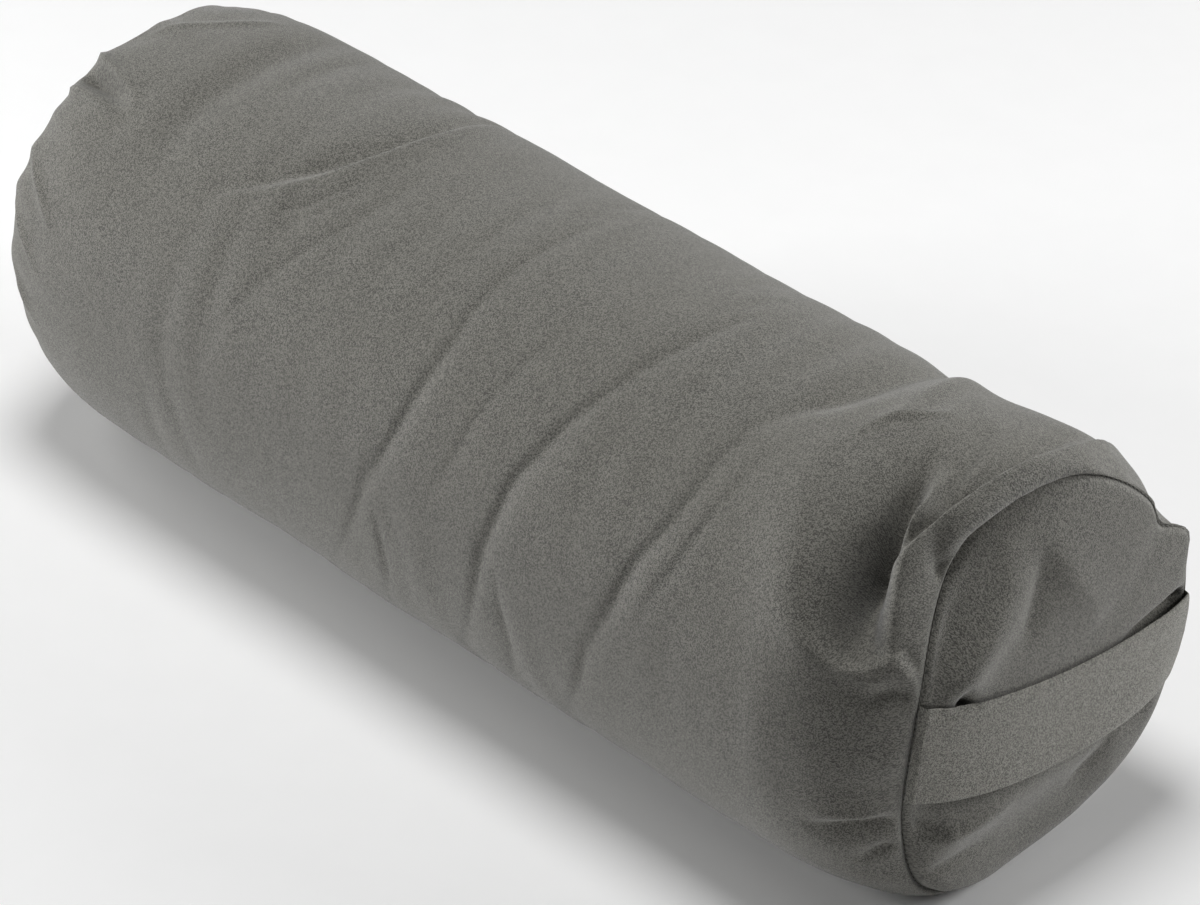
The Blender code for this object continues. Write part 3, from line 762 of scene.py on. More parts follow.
def line_height(line, fold, along, across):
    """Height of a fold over flat cloth: h x exp(-(distance / width) ^ power).

    The distance is to the nearest stretch of the line, h is the line's own height there, and the
    width is that of the side the point lies on.
    """
    reach = FOLD_REACH * max(fold.behind, fold.ahead) / 1000
    near = (
        (along > line[:, 0].min() - reach)
        & (along < line[:, 0].max() + reach)
        & (across > line[:, 1].min() - reach)
        & (across < line[:, 1].max() + reach)
    )
    place = np.stack((along[near], across[near]), axis=1)
    result = np.zeros(along.shape)
    if not len(place):
        return result
    start, step = line[:-1, :2], np.diff(line[:, :2], axis=0)
    offset = place[:, None] - start
    share = np.clip((offset * step).sum(-1) / (step**2).sum(-1), 0, 1)
    distance = np.linalg.norm(offset - share[..., None] * step, axis=-1)
    nearest = distance.argmin(axis=1)
    rows = np.arange(len(place))
    share = share[rows, nearest]
    height = line[nearest, 2] * (1 - share) + line[nearest + 1, 2] * share
    offset, step = offset[rows, nearest], step[nearest]
    turn = step[:, 0] * offset[:, 1] - step[:, 1] * offset[:, 0]
    ahead = turn * np.sign(line[-1, 1] - line[0, 1]) < 0
    width = np.where(ahead, fold.ahead, fold.behind) / 1000
    distance = distance[rows, nearest]
    result[near] = height * np.exp(-((distance / width) ** fold.power))
    return result


def smooth_line(nodes, steps):
    """A Catmull-Rom line through rows of numbers, in this many even steps of its parameter."""
    padded = np.concatenate((2 * nodes[:1] - nodes[1:2], nodes, 2 * nodes[-1:] - nodes[-2:-1]))
    place = np.linspace(0, len(nodes) - 1 - 1e-9, steps + 1)
    index = place.astype(int)
    share = (place - index)[:, None]
    before, start, end, after = (padded[index + shift] for shift in range(4))
    square = 2 * before - 5 * start + 4 * end - after
    cube = 3 * (start - end) + after - before
    return start + 0.5 * share * (end - before + share * (square + share * cube))


def cover_height(along, theta, strength):
    """Height of the folded cover over the smooth roll, as a grid: folds, puckers and unevenness."""
    along, theta = np.broadcast_arrays(along[:, None], theta[None, :])
    arc = arc_at(theta)
    height = sum(fold_height(fold, along, arc) for fold in COVER_FOLDS.values()) * strength
    height = height + SWELL_HEIGHT * lumps(along, arc, 9, (0.10, 0.30), 5, 3)
    ripple = lumps(along, arc, 12, (0.016, 0.040), 4, 5)
    height = height + RIPPLE_HEIGHT * ripple * (1 + lumps(along, arc, 5, (0.15, 0.4), 4, 8))
    for end, tall, reach, seed in PUCKERS:
        back = end.side * (seam_along(end) - along)
        pucker = lumps(0 * along, arc, 7, (1, 2), 34, seed)
        pucker = pucker + 0.6 * lumps(along, arc, 5, (0.05, 0.1), 14, seed + 9)
        height = height + tall * pucker * np.exp(-back / reach) * (1 - np.exp(-back / PUCKER_START))
    return height


def seam_dip(back):
    """How far cloth turns in along X beside a seam: dip x exp(-(distance / round) ^ 1.5)."""
    return SEAM_DIP * np.exp(-((np.maximum(back, 0) / SEAM_ROUND) ** 1.5))


def cover_points(along, theta, strength=1.0):
    """The folded cover's tube as a grid of points, flat on the floor and turned in at its seams.

    A point is the smooth roll's plus the folds' height along the way out of it.
    """
    smooth, zip_share = flattened_at_zip(roll_surface(along, theta))
    height = cover_height(along, theta, strength)
    ends = np.minimum(seam_along(FRONT) - along, along - seam_along(REAR))[:, None]
    height = height * smooth_step(ends / FOLD_SEAM_FADE) * (1 - zip_share)
    resting = smooth_step((smooth[..., 2] - FOLD_FLOOR_FROM) / FOLD_FLOOR_FADE)
    way = outward(smooth)
    way[..., 0] *= 1 - FOLD_UPRIGHT * drawn_in(along, FRONT)[1][:, None]
    points = smooth + unit(way) * (height * resting)[..., None]
    for end in (FRONT, REAR):
        back = end.side * (seam_along(end) - along)
        points[..., 0] -= end.side * seam_dip(back)[:, None]
        outer = SEAM_SPACE * smooth_step(1 - back / SEAM_SPACE_REACH)
        points[..., 1] *= 1 + (outer / DISC_RADIUS)[:, None]
    points[..., 2] = np.maximum(points[..., 2], 0.0)
    return points


def seam_points(end, theta):
    """The seam's line: the smooth roll's last ring."""
    return roll_surface(np.array((seam_along(end),)), theta)[0]


# Cloth simulation

def spline_weights(places, count, closed):
    """Uniform cubic B-spline weights that carry values of a coarse row over to finer places."""
    first = np.floor(places).astype(int)
    share = places - first
    weights = np.zeros((len(places), count))
    rows = np.arange(len(places))
    for shift, weight in (
        (-1, (1 - share) ** 3),
        (0, 3 * share**3 - 6 * share**2 + 4),
        (1, 3 * (1 - share) ** 3 - 6 * (1 - share) ** 2 + 4),
        (2, share**3),
    ):
        column = first + shift
        column = column % count if closed else np.clip(column, 0, count - 1)
        np.add.at(weights, (rows, column), weight / 6)
    return weights


def settled_moves(along, arcs, strength):
    """How far each point of the cover's grid moves when its cloth settles over the stuffing.

    A coarse copy of the tube, a little smaller and with some cloth to spare, is pressed outwards
    from inside for SETTLE_FRAMES frames. Its seams, the zip's flat and its foot are held, and the
    rest is drawn weakly to its place. A move of length d is capped at cap x tanh(d / cap), and
    the finer grid takes the moves through cubic splines.
    """
    rows, columns = SETTLE_GRID
    coarse_along = np.linspace(seam_along(REAR), seam_along(FRONT), rows)
    theta = even_angles(columns)
    kept = cover_points(coarse_along, theta, strength)
    start = kept - outward(kept) * SETTLE_SMALLER
    flat = flattened_at_zip(roll_surface(coarse_along, theta))[1]
    ends = np.minimum(seam_along(FRONT) - coarse_along, coarse_along - seam_along(REAR))[:, None]
    at_seam = 1 - smooth_step(ends / SETTLE_HELD_SEAM)
    at_floor = 1 - smooth_step(kept[..., 2] / SETTLE_HELD_FLOOR)
    held = SETTLE_HOLD + (1 - SETTLE_HOLD) * np.maximum(np.maximum(at_seam, at_floor), flat)
    faces = grid_faces(rows, columns).reshape(-1, 4).tolist()
    cloth = mesh_object("settling", start, faces)
    group = cloth.vertex_groups.new(name="held")
    level = np.round(held.ravel() * SETTLE_LEVELS).astype(int)
    for step in np.unique(level):
        group.add(np.flatnonzero(level == step).tolist(), step / SETTLE_LEVELS, "REPLACE")
    modifier = cloth.modifiers.new("settle", "CLOTH")
    modifier.collision_settings.use_collision = False
    for name, setting in SETTLE_CLOTH.items():
        setattr(modifier.settings, name, setting)
    modifier.settings.effector_weights.gravity = 0.0
    scene = bpy.context.scene
    for step in range(1, SETTLE_FRAMES + 1):
        scene.frame_set(step)
    settled = np.empty(start.size, np.float32)
    shown = cloth.evaluated_get(bpy.context.evaluated_depsgraph_get())
    shown.data.vertices.foreach_get("co", settled)
    scene.frame_set(1)
    mesh = cloth.data
    bpy.data.objects.remove(cloth, do_unlink=True)
    bpy.data.meshes.remove(mesh)
    moves = settled.reshape(start.shape) - kept
    length = np.linalg.norm(moves, axis=-1, keepdims=True)
    moves *= SETTLE_MOST * np.tanh(length / SETTLE_MOST) / np.maximum(length, 1e-9)
    moves *= smooth_step(ends / SETTLE_FADE)[..., None]
    places = (along - coarse_along[0]) / (coarse_along[1] - coarse_along[0])
    down = spline_weights(places, rows, closed=False)
    across = spline_weights((arcs % GIRTH) / GIRTH * columns, columns, closed=True)
    return np.einsum("ij,jkc,lk->ilc", down, moves, across, optimize=True)


# The cover's grid

def cover_stations():
    """Lengths along the cloth: close together at the seams, the slot's two ends included."""
    lip = np.append(SEAM_LIP, 0.0052)
    front, rear = seam_along(FRONT), seam_along(REAR)
    behind, beside, ahead = COVER_ROWS
    return np.concatenate((
        rear + lip,
        np.linspace(rear + 0.0070, SLOT_FROM, behind),
        np.linspace(SLOT_FROM, SLOT_TO, beside)[1:],
        np.linspace(SLOT_TO, front - 0.0065, ahead)[1:],
        front - lip[::-1],
    ))


def cover_angles():
    """Angles round the roll, closer together on its -Y side, with the slot's columns last.

    Returns the angles, their lengths round the roll, and the number of the slot's first column.
    """
    low, high = slot_arcs()
    seen_from, seen_to = arc_at(SEEN_SIDE)
    before, seen, after = COVER_COLUMNS
    arcs = np.concatenate((
        np.linspace(high, seen_from, before)[:-1],
        np.linspace(seen_from, seen_to, seen)[:-1],
        np.linspace(seen_to, GIRTH + low, after),
    ))
    first = len(arcs) - 1
    arcs = np.append(arcs, np.linspace(low, high, 5)[1:-1] + GIRTH)
    return theta_at(arcs), arcs, first


# Materials

# The twill: angle of its ribs in radians, their pitch and the size of its nap's specks in
# millimetres, and the number of its tufts to a millimetre
TWILL_ANGLE = 1.05
TWILL_PITCH = 1.25
NAP_SIZE = 0.5
TUFTS_PER_MM = 2.4


class Value:
    """A number socket of a shader, on which sums, differences and products add Math nodes."""

    def __init__(self, finish, socket):
        self.finish, self.socket = finish, socket

    def maths(self, operation, first, second=0.0):
        """Adds a Math node."""
        return self.finish.value("ShaderNodeMath", {"operation": operation}, {0: first, 1: second})

    def __add__(self, other):
        return self.maths("ADD", self, other)

    def __radd__(self, other):
        return self.maths("ADD", other, self)

    def __sub__(self, other):
        return self.maths("SUBTRACT", self, other)

    def __rsub__(self, other):
        return self.maths("SUBTRACT", other, self)

    def __mul__(self, other):
        return self.maths("MULTIPLY", self, other)

    def __rmul__(self, other):
        return self.maths("MULTIPLY", other, self)

    def sine(self):
        return self.maths("SINE", self)

    def clamped(self):
        return self.finish.value("ShaderNodeClamp", {}, {0: self})


class Finish:
    """One material's nodes, around its Principled shader."""

    def __init__(self, name, roughness, **constants):
        self.material = bpy.data.materials.new(name)
        self.material.use_nodes = True
        self.tree = self.material.node_tree
        self.shader = self.tree.nodes["Principled BSDF"]
        self.shader.inputs["Roughness"].default_value = roughness
        for socket, constant in constants.items():
            self.shader.inputs[socket.replace("_", " ")].default_value = constant

    def node(self, kind, settings, inputs):
        """Adds a node: its settings first, then the value or link of each socket."""
        node = self.tree.nodes.new(kind)
        for name, setting in settings.items():
            setattr(node, name, setting)
        for name, given in inputs.items():
            given = given.socket if isinstance(given, Value) else given
            if isinstance(given, bpy.types.NodeSocket):
                self.tree.links.new(given, node.inputs[name])
            else:
                node.inputs[name].default_value = given
        return node

    def value(self, kind, settings, inputs):
        """Adds a node, and gives its first output as a number."""
        return Value(self, self.node(kind, settings, inputs).outputs[0])

    def parts(self, vector):
        """The three numbers of a vector or colour."""
        outputs = self.node("ShaderNodeSeparateXYZ", {}, {0: vector}).outputs
        return [Value(self, output) for output in outputs]

    def millimetres(self, metres):
        """A vector in metres, as millimetres."""
        inputs = {0: metres, "Scale": 1000.0}
        return self.node("ShaderNodeVectorMath", {"operation": "SCALE"}, inputs).outputs[0]

    def cloth_map(self):
        """The piece's own UV map, which holds metres along and across the cloth, in millimetres."""
        return self.millimetres(self.node("ShaderNodeUVMap", {"uv_map": "cloth"}, {}).outputs[0])

    def place(self):
        """Object coordinates, in millimetres."""
        return self.millimetres(self.node("ShaderNodeTexCoord", {}, {}).outputs["Object"])

    def noise(self, vector, size, detail=2.0, rough=0.5):
        """Noise with features of about this size, in the vector's units."""
        inputs = {"Vector": vector, "Scale": 1.0 / size, "Detail": detail, "Roughness": rough}
        return self.value("ShaderNodeTexNoise", {}, inputs)

    def mix(self, share, first, second):
        """A colour between two, by a share from 0 to 1."""
        inputs = {"Factor": share, "A": first, "B": second}
        return self.node("ShaderNodeMix", {"data_type": "RGBA"}, inputs).outputs["Result"]

    def turned(self, vector, angle, scale=(1.0, 1.0, 1.0)):
        """A place turned about the third axis, and scaled."""
        inputs = {"Vector": vector, "Rotation": (0.0, 0.0, angle), "Scale": scale}
        return self.node("ShaderNodeMapping", {}, inputs).outputs[0]

    def wear(self, colour, bump=None, distance=0.0001, strength=1.0, roughness=None):
        """Feeds the shader's colour, and where they are given its roughness and normal."""
        self.tree.links.new(colour, self.shader.inputs["Base Color"])
        if roughness is not None:
            self.tree.links.new(roughness.socket, self.shader.inputs["Roughness"])
        if bump is not None:
            inputs = {"Strength": strength, "Distance": distance, "Height": bump}
            node = self.node("ShaderNodeBump", {}, inputs)
            self.tree.links.new(node.outputs[0], self.shader.inputs["Normal"])
        return self.material


def tint(colour, share):
    """A colour times a share."""
    return (*(channel * share for channel in colour[:3]), 1.0)


def twill_finish(name, colour):
    """Brushed cotton twill: fine diagonal ribs under a short nap, with a peppered colour."""
    finish = Finish(name, 0.93, Sheen_Weight=0.25, Sheen_Roughness=0.55)
    cloth = finish.cloth_map()
    drift = finish.noise(cloth, 6.0, 2.0)
    across = finish.parts(finish.turned(cloth, TWILL_ANGLE))[0]
    twill = (across * (2 * np.pi / TWILL_PITCH) + drift * 5.0).sine() * 0.5 + 0.5
    grain = finish.noise(cloth, NAP_SIZE, 0.0, 0.5)
    nap = finish.noise(finish.turned(cloth, TWILL_ANGLE, (1.0, 0.7, 1.0)), NAP_SIZE, 0.0, 0.5)
    pile = grain * 0.55 + nap * 0.45
    cells = {"Vector": finish.turned(cloth, TWILL_ANGLE, (1.0, 0.85, 1.0)), "Scale": TUFTS_PER_MM}
    tufts = finish.parts(finish.node("ShaderNodeTexVoronoi", {}, cells).outputs["Color"])[0]
    fleck = ((pile - 0.5) * 1.6 + (tufts - 0.5) * 1.7 + 0.5).clamped()
    patches = finish.noise(cloth, 55.0, 3.0, 0.55)
    warm = tint((colour[0] * 1.02, colour[1], colour[2] * 0.96), 1.04)
    base = finish.mix(fleck, tint(colour, 0.24), tint(colour, 1.82))
    base = finish.mix(twill * 0.22, base, tint(colour, 0.82))
    base = finish.mix((patches * 0.5).clamped(), base, warm)
    return finish.wear(base, pile * 0.6 + tufts * 0.3 + twill * 0.3, 0.00035, 0.6)


def plain_weave_finish(name, colour, pitch):
    """Plain weave: two crossing sets of threads, with a soft uneven colour."""
    finish = Finish(name, 0.9, Sheen_Weight=0.15)
    cloth = finish.cloth_map()
    warp, weft = (part * (2 * np.pi / pitch) for part in finish.parts(cloth)[:2])
    weave = warp.sine() * weft.sine() * 0.5 + 0.5
    uneven = finish.noise(cloth, 14.0, 3.0)
    base = finish.mix(weave * 0.5 + uneven * 0.4, tint(colour, 0.86), tint(colour, 1.08))
    return finish.wear(base, weave + uneven * 0.2, 0.0001, 0.5)


def thread_finish(name, colour):
    """Twisted sewing thread: fine slanting ply lines."""
    finish = Finish(name, 0.75, Sheen_Weight=0.2)
    place = finish.place()
    ply = finish.noise(finish.turned(place, 0.6, (4.0, 1.0, 1.0)), 0.4, 1.0)
    base = finish.mix(ply, tint(colour, 0.75), tint(colour, 1.2))
    return finish.wear(base, ply, 0.00006, 0.5)


# Sizes and colours that a user may change

class BolsterSizes(bpy.types.PropertyGroup):
    """Colours and sizes of the bolster's cloth and stage."""

    cover_colour: bpy.props.FloatVectorProperty(
        name="Cover colour", description="Colour of the brushed twill", subtype="COLOR", size=3,
        min=0.0, max=1.0, default=(0.130, 0.127, 0.1125),
    )
    fold_strength: bpy.props.FloatProperty(
        name="Fold strength", description="Share of the folds' full height", subtype="FACTOR",
        min=0.0, max=1.5, default=1.0,
    )
    floor_colour: bpy.props.FloatVectorProperty(
        name="Floor colour", description="Colour of the pale floor", subtype="COLOR", size=3,
        min=0.0, max=1.0, default=(0.94, 0.94, 0.94),
    )


# Stage, cover, discs and strap

class BOLSTER_OT_stage(bpy.types.Operator):
    """Camera at the photograph's angle, a pale floor and soft studio light"""

    bl_idname = "bolster.stage"
    bl_label = "Stage"

    def execute(self, context):
        scene = context.scene
        camera = bpy.data.objects.new("camera", bpy.data.cameras.new("camera"))
        camera.data.sensor_width = 36.0
        camera.data.lens = CAMERA_LENS
        aim_at(camera, CAMERA_PLACE, CAMERA_TARGET)
        scene.collection.objects.link(camera)
        scene.camera = camera
        corners = np.array(((-1, -1, 0), (1, -1, 0), (1, 1, 0), (-1, 1, 0))) * FLOOR_HALF
        floor = mesh_object("floor", corners, [(0, 1, 2, 3)])
        finish = Finish("floor_paint", 0.9)
        speckle = finish.noise(finish.place(), 30.0, 2.0)
        dark, light = (tint(context.scene.bolster.floor_colour, share) for share in (0.985, 1.01))
        floor.data.materials.append(finish.wear(finish.mix(speckle, dark, light)))
        for name, place, size, power in LIGHTS:
            light = bpy.data.objects.new(name, bpy.data.lights.new(name, "AREA"))
            light.data.shape = "DISK"
            light.data.size = size
            light.data.energy = power
            aim_at(light, Vector(place), LIGHT_TARGET)
            scene.collection.objects.link(light)
        world = bpy.data.worlds.new("studio")
        world.use_nodes = True
        sky = world.node_tree.nodes["Background"].inputs
        sky["Color"].default_value = (1.0, 1.0, 1.0, 1.0)
        sky["Strength"].default_value = WORLD_STRENGTH
        scene.world = world
        scene.view_settings.view_transform = "Standard"
        return {"FINISHED"}


def aim_at(obj, place, target):
    """Puts a camera or light at a place, looking at a target."""
    obj.location = place
    obj.rotation_euler = (target - place).to_track_quat("-Z", "Y").to_euler()


def twill(name="brushed_twill", share=1.0):
    """The cover's brushed twill, made once, or a copy of it painted lighter by a share, as painted
    light.
    """
    made = bpy.data.materials.get(name)
    return made or twill_finish(name, tint(bpy.context.scene.bolster.cover_colour, share))


class BOLSTER_OT_cover(bpy.types.Operator):
    """The folded tube of the cover, with the zip's slot"""

    bl_idname = "bolster.cover"
    bl_label = "Cover tube"

    def execute(self, context):
        along = cover_stations()
        theta, arcs, slot_column = cover_angles()
        strength = context.scene.bolster.fold_strength
        points = cover_points(along, theta, strength)
        points += settled_moves(along, arcs, strength)
        points[..., 2] = np.maximum(points[..., 2], 0.0)
        faces = grid_faces(len(along), len(theta))
        corners = grid_corners(along, np.append(arcs, arcs[0] + GIRTH))
        middles = (along[:-1] + along[1:]) / 2
        in_slot = (middles > SLOT_FROM) & (middles < SLOT_TO)
        keep = ~(in_slot[:, None] & (np.arange(len(theta)) >= slot_column)[None, :])
        cover = mesh_object("cover_tube", points, faces[keep].tolist(), corners[keep])
        add_solidify(cover, COVER_CLOTH)
        cover.data.materials.append(twill())
        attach(cover, "bolster")
        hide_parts("cover_body")
        return {"FINISHED"}


def disc_points(end, rings, theta, height):
    """An end disc as a grid [ring, angle, 3]: the seam's ring shrunk to its middle and crowned.

    At share r of the way out, the point is middle + r x (seam - middle) in y and z, and along X it
    runs from the seam's own place to the crown's by 1 - r ^ CROWN_POWER, plus the folds' height.
    Near the seam the cloth hangs over it: by SAG_OUT x (b / reach) x exp(1 - b / reach) at a
    distance b from it, along X and, less, outwards.
    """
    rim = seam_points(end, theta)
    rim[:, 1] = end.shift + (rim[:, 1] - end.shift) * (1 - SEAM_SPACE / DISC_RADIUS)
    middle = disc_middle(end)
    share = rings[:, None]
    arm = rim - middle
    points = middle + share[..., None] * arm
    points[..., 0] = disc_x(end, share, rim[:, 0], points[..., 1], points[..., 2], height)
    sag = disc_sag(share, theta, points[..., 2])
    points[..., 1:] += (SAG_WIDER * sag)[..., None] * unit(arm[:, 1:])
    points[..., 0] += end.side * (sag - seam_dip((1 - share) * DISC_RADIUS))
    points[..., 2] = np.maximum(points[..., 2], DISC_OFF_FLOOR)
    return points


def disc_middle(end):
    """The middle of a disc, at the height of its crown."""
    return np.array((end.x + end.side * end.crown, end.shift, (end.top + end.base) / 2))


def disc_x(end, share, rim_x, y, z, height):
    """The disc's place along X at a share of the way out to its rim: its crown and its folds."""
    bend = share**CROWN_POWER
    folds = height(y, z) * smooth_step((1 - share) * DISC_RADIUS / FOLD_RIM_FADE)
    return rim_x * bend + disc_middle(end)[0] * (1 - bend) + end.side * folds


def disc_sag(share, theta, z):
    """How far the cloth hangs over the seam; the strap holds it back at its own height."""
    back = (1 - share) * DISC_RADIUS / SAG_REACH
    lower = np.clip(np.cos(theta - SAG_MIDDLE), 0, 1) ** 0.8
    held = 1 - SAG_HELD * np.exp(-(((z - STRAP_MIDDLE[2]) / SAG_HELD_HALF) ** 2))
    return SAG_OUT * lower * held * back * np.exp(1 - back)


def front_disc_height(y, z):
    """Height of the strap-end disc's folds at a place across and up it."""
    y, z = np.broadcast_arrays(y, z)
    height = 0.0
    for fold in DISC_FOLDS.values():
        line = smooth_line(np.array(fold.path, float) / 1000, FOLD_STEPS)
        height = height + line_height(line, fold, y, z)
    return height


def rear_disc_height(y, z):
    """Soft pleats of the plain end's disc: sine waves round it that grow towards its rim."""
    up = z - REAR_PLEATS_MIDDLE
    angle = np.arctan2(up, y)
    out = np.hypot(y, up) / DISC_RADIUS
    return sum(
        tall * out**power * np.sin(count * angle + start)
        for tall, power, count, start in REAR_PLEATS
    )


class BOLSTER_OT_discs(bpy.types.Operator):
    """The two crowned end discs of the cover"""

    bl_idname = "bolster.discs"
    bl_label = "End discs"

    def execute(self, context):
        lip = 1 - np.append(SEAM_LIP, 0.0055) / DISC_RADIUS
        rings = np.concatenate((lip, np.linspace(0.925, 0.02, DISC_RINGS)))
        theta = even_angles(DISC_COLUMNS)
        for end, height, name, node in (
            (FRONT, front_disc_height, "strap_end_disc", "cover_front_panel"),
            (REAR, rear_disc_height, "plain_end_disc", "cover_rear_panel"),
        ):
            disc = closed_disc(name, end, disc_points(end, rings, theta, height))
            add_solidify(disc, COVER_CLOTH)
            disc.data.materials.append(twill())
            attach(disc, "bolster")
            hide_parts(node)
        return {"FINISHED"}


def closed_disc(name, end, points):
    """Mesh of a disc from its rings, closed at the middle by a fan. Its UV is (y, z)."""
    rings, count = points.shape[:2]
    centre = points[-1].mean(axis=0)
    faces = grid_faces(rings, count).reshape(-1, 4)
    last = (rings - 1) * count + np.arange(count)
    fan = np.stack((last, np.roll(last, -1), np.full(count, rings * count)), axis=1)
    if end.side < 0:
        faces, fan = faces[:, ::-1], fan[:, ::-1]
    points = np.concatenate((points.reshape(-1, 3), centre[None]))
    flat = points[:, 1:]
    uv = np.concatenate((flat[faces].reshape(-1, 2), flat[fan].reshape(-1, 2)))
    return mesh_object(name, points, faces.tolist() + fan.tolist(), uv)


def seam_at_height(side, z):
    """The front seam's (x, y) at these heights, on its -Y side or its +Y side."""
    theta = np.radians(np.linspace(125, 235, 400) if side < 0 else np.linspace(55, -55, 400))
    ring = seam_points(FRONT, theta)[::-1]
    return np.interp(z, ring[:, 2], ring[:, 0]), np.interp(z, ring[:, 2], ring[:, 1])


def ridges_only(y, z):
    """The strap-end disc's folds without its dents, which the strap bridges."""
    return np.maximum(front_disc_height(y, z), 0.0)


def front_disc_x(y, z):
    """What the strap lies on, along X at (y, z), from its share of the way out to the seam."""
    middle = disc_middle(FRONT)
    theta = np.linspace(0, 2 * np.pi, 721)
    ring = seam_points(FRONT, theta)
    turn = np.unwrap(np.arctan2(ring[:, 2] - middle[2], ring[:, 1] - middle[1]))
    radius = np.hypot(ring[:, 1] - middle[1], ring[:, 2] - middle[2])
    at = np.arctan2(z - middle[2], y - middle[1])
    at = turn[0] + (at - turn[0]) % (2 * np.pi)
    share = np.clip(np.hypot(y - middle[1], z - middle[2]) / np.interp(at, turn, radius), 0, 1)
    x = disc_x(FRONT, share, np.interp(at, turn, ring[:, 0]), y, z, ridges_only)
    return x + disc_sag(share, np.interp(at, turn, theta), z)


def strap_points(side):
    """One half of the strap as a grid [along, round, 3], from its sewn end to the strap's middle.

    At share s of the way from the middle to the seam, and v of the half width up or down, the
    inner face's x runs from the middle's to the seam's by s ^ bow, its y evenly, and its z is
    that of the sloping middle line plus v x half width. The lower edge stands out, the upper one
    curls in and, towards the +Y end, stands off. The face stays outside the disc. The loop round
    it is a flat superellipse, so its two folded edges are round, and it thins and goes down into
    the seam that holds it.
    """
    sewn, rest = STRAP_ROWS
    share = np.concatenate((1 - np.linspace(0, STRAP_HELD, sewn), np.linspace(0.965, 0.0, rest)))
    share = share[:, None]
    turn = np.linspace(0, 2 * np.pi, STRAP_COLUMNS + 1)[:-1][None, :]
    up = np.sign(np.sin(turn)) * np.abs(np.sin(turn)) ** STRAP_EDGE_POWER
    face = np.sign(np.cos(turn)) * np.abs(np.cos(turn)) ** STRAP_FACE_POWER
    signed = side * share
    middle_x, middle_y, middle_z = STRAP_MIDDLE
    half = STRAP_HALF_WIDTH - STRAP_NARROWS * signed
    z = middle_z - STRAP_FALL * signed + STRAP_RISE * share**2 + up * half
    end_x, end_y = seam_at_height(side, z[0])
    x = middle_x + (end_x + STRAP_SEAM_OUT - middle_x) * share ** STRAP_BOW[side]
    y = middle_y + (end_y - middle_y) * share
    free = smooth_step((1 - share) / STRAP_EDGES_FREE)
    lifted = smooth_step((signed - STRAP_GAP_FROM) / STRAP_GAP_OVER)
    edge = STRAP_CURL * (1 - lifted) - STRAP_GAP * lifted
    x = x - free * (edge * np.clip(up, 0, 1) ** 3 + STRAP_TILT * up)
    least = front_disc_x(y, z) + STRAP_OFF_DISC * free
    x = least + np.hypot(x - least, STRAP_SOFT) * 0.5 + (x - least) * 0.5
    inner = np.stack(np.broadcast_arrays(x, y, z), axis=-1)
    step = np.gradient(inner[..., :2], axis=0) * -side
    normal = unit(np.stack((step[..., 1], -step[..., 0]), axis=-1))
    sewn = 1 - smooth_step((1 - share) / STRAP_HELD)
    thick = STRAP_THICKNESS * (1 - (1 - STRAP_SEWN_THIN) * sewn) / 2 * (1 + face)
    inner[..., :2] += normal * (thick - STRAP_TUCK * sewn)[..., None]
    inner[..., 0] -= (STRAP_SEAM_OUT + STRAP_TUCK) * sewn
    return inner


class BOLSTER_OT_strap(bpy.types.Operator):
    """The carry strap across the front disc, as two halves that meet in its middle"""

    bl_idname = "bolster.strap"
    bl_label = "Carry strap"

    def execute(self, context):
        for name, side, nodes in (
            ("strap_left_half", -1, ("carry_strap", "strap_tail_left")),
            ("strap_right_half", 1, ("carry_strap", "strap_tail_right")),
        ):
            points = strap_points(side)
            rows, count = points.shape[:2]
            faces = grid_faces(rows, count).reshape(-1, 4)
            across = np.append(points[-1, :, 2], points[-1, 0, 2])
            uv = grid_corners(side * lengths_along(points[:, 0]), across).reshape(-1, 4, 2)
            if side < 0:
                faces, uv = faces[:, ::-1], uv[:, ::-1]
            sewn = [list(range(count))[::-side]]
            uv = np.concatenate((uv.reshape(-1, 2), np.zeros((count, 2))))
            strap = mesh_object(name, points, faces.tolist() + sewn, uv)
            # The strap's twill is the cover's painted lighter: painted light, for the light the strap
            # catches
            strap.data.materials.append(twill("strap_twill_painted_light", STRAP_PAINTED_LIGHT))
            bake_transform(strap)
            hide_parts(*nodes)
        return {"FINISHED"}


# Inner bag and stuffing

def lowest_near(height, rows, columns):
    """The lowest value within so many rows and columns, on a grid closed along its second axis."""
    for shift in range(1, columns + 1):
        sides = np.minimum(np.roll(height, shift, axis=1), np.roll(height, -shift, axis=1))
        height = np.minimum(height, sides)
    padded = np.pad(height, ((rows, rows), (0, 0)), mode="edge")
    return np.min([padded[shift : shift + len(height)] for shift in range(2 * rows + 1)], axis=0)


def softened(height, times):
    """Repeated averaging with the four neighbours, on a grid closed along its second axis."""
    for _ in range(times):
        padded = np.pad(height, ((1, 1), (0, 0)), mode="edge")
        sides = np.roll(height, 1, axis=1) + np.roll(height, -1, axis=1)
        height = (4 * height + sides + padded[2:] + padded[:-2]) / 8
    return height


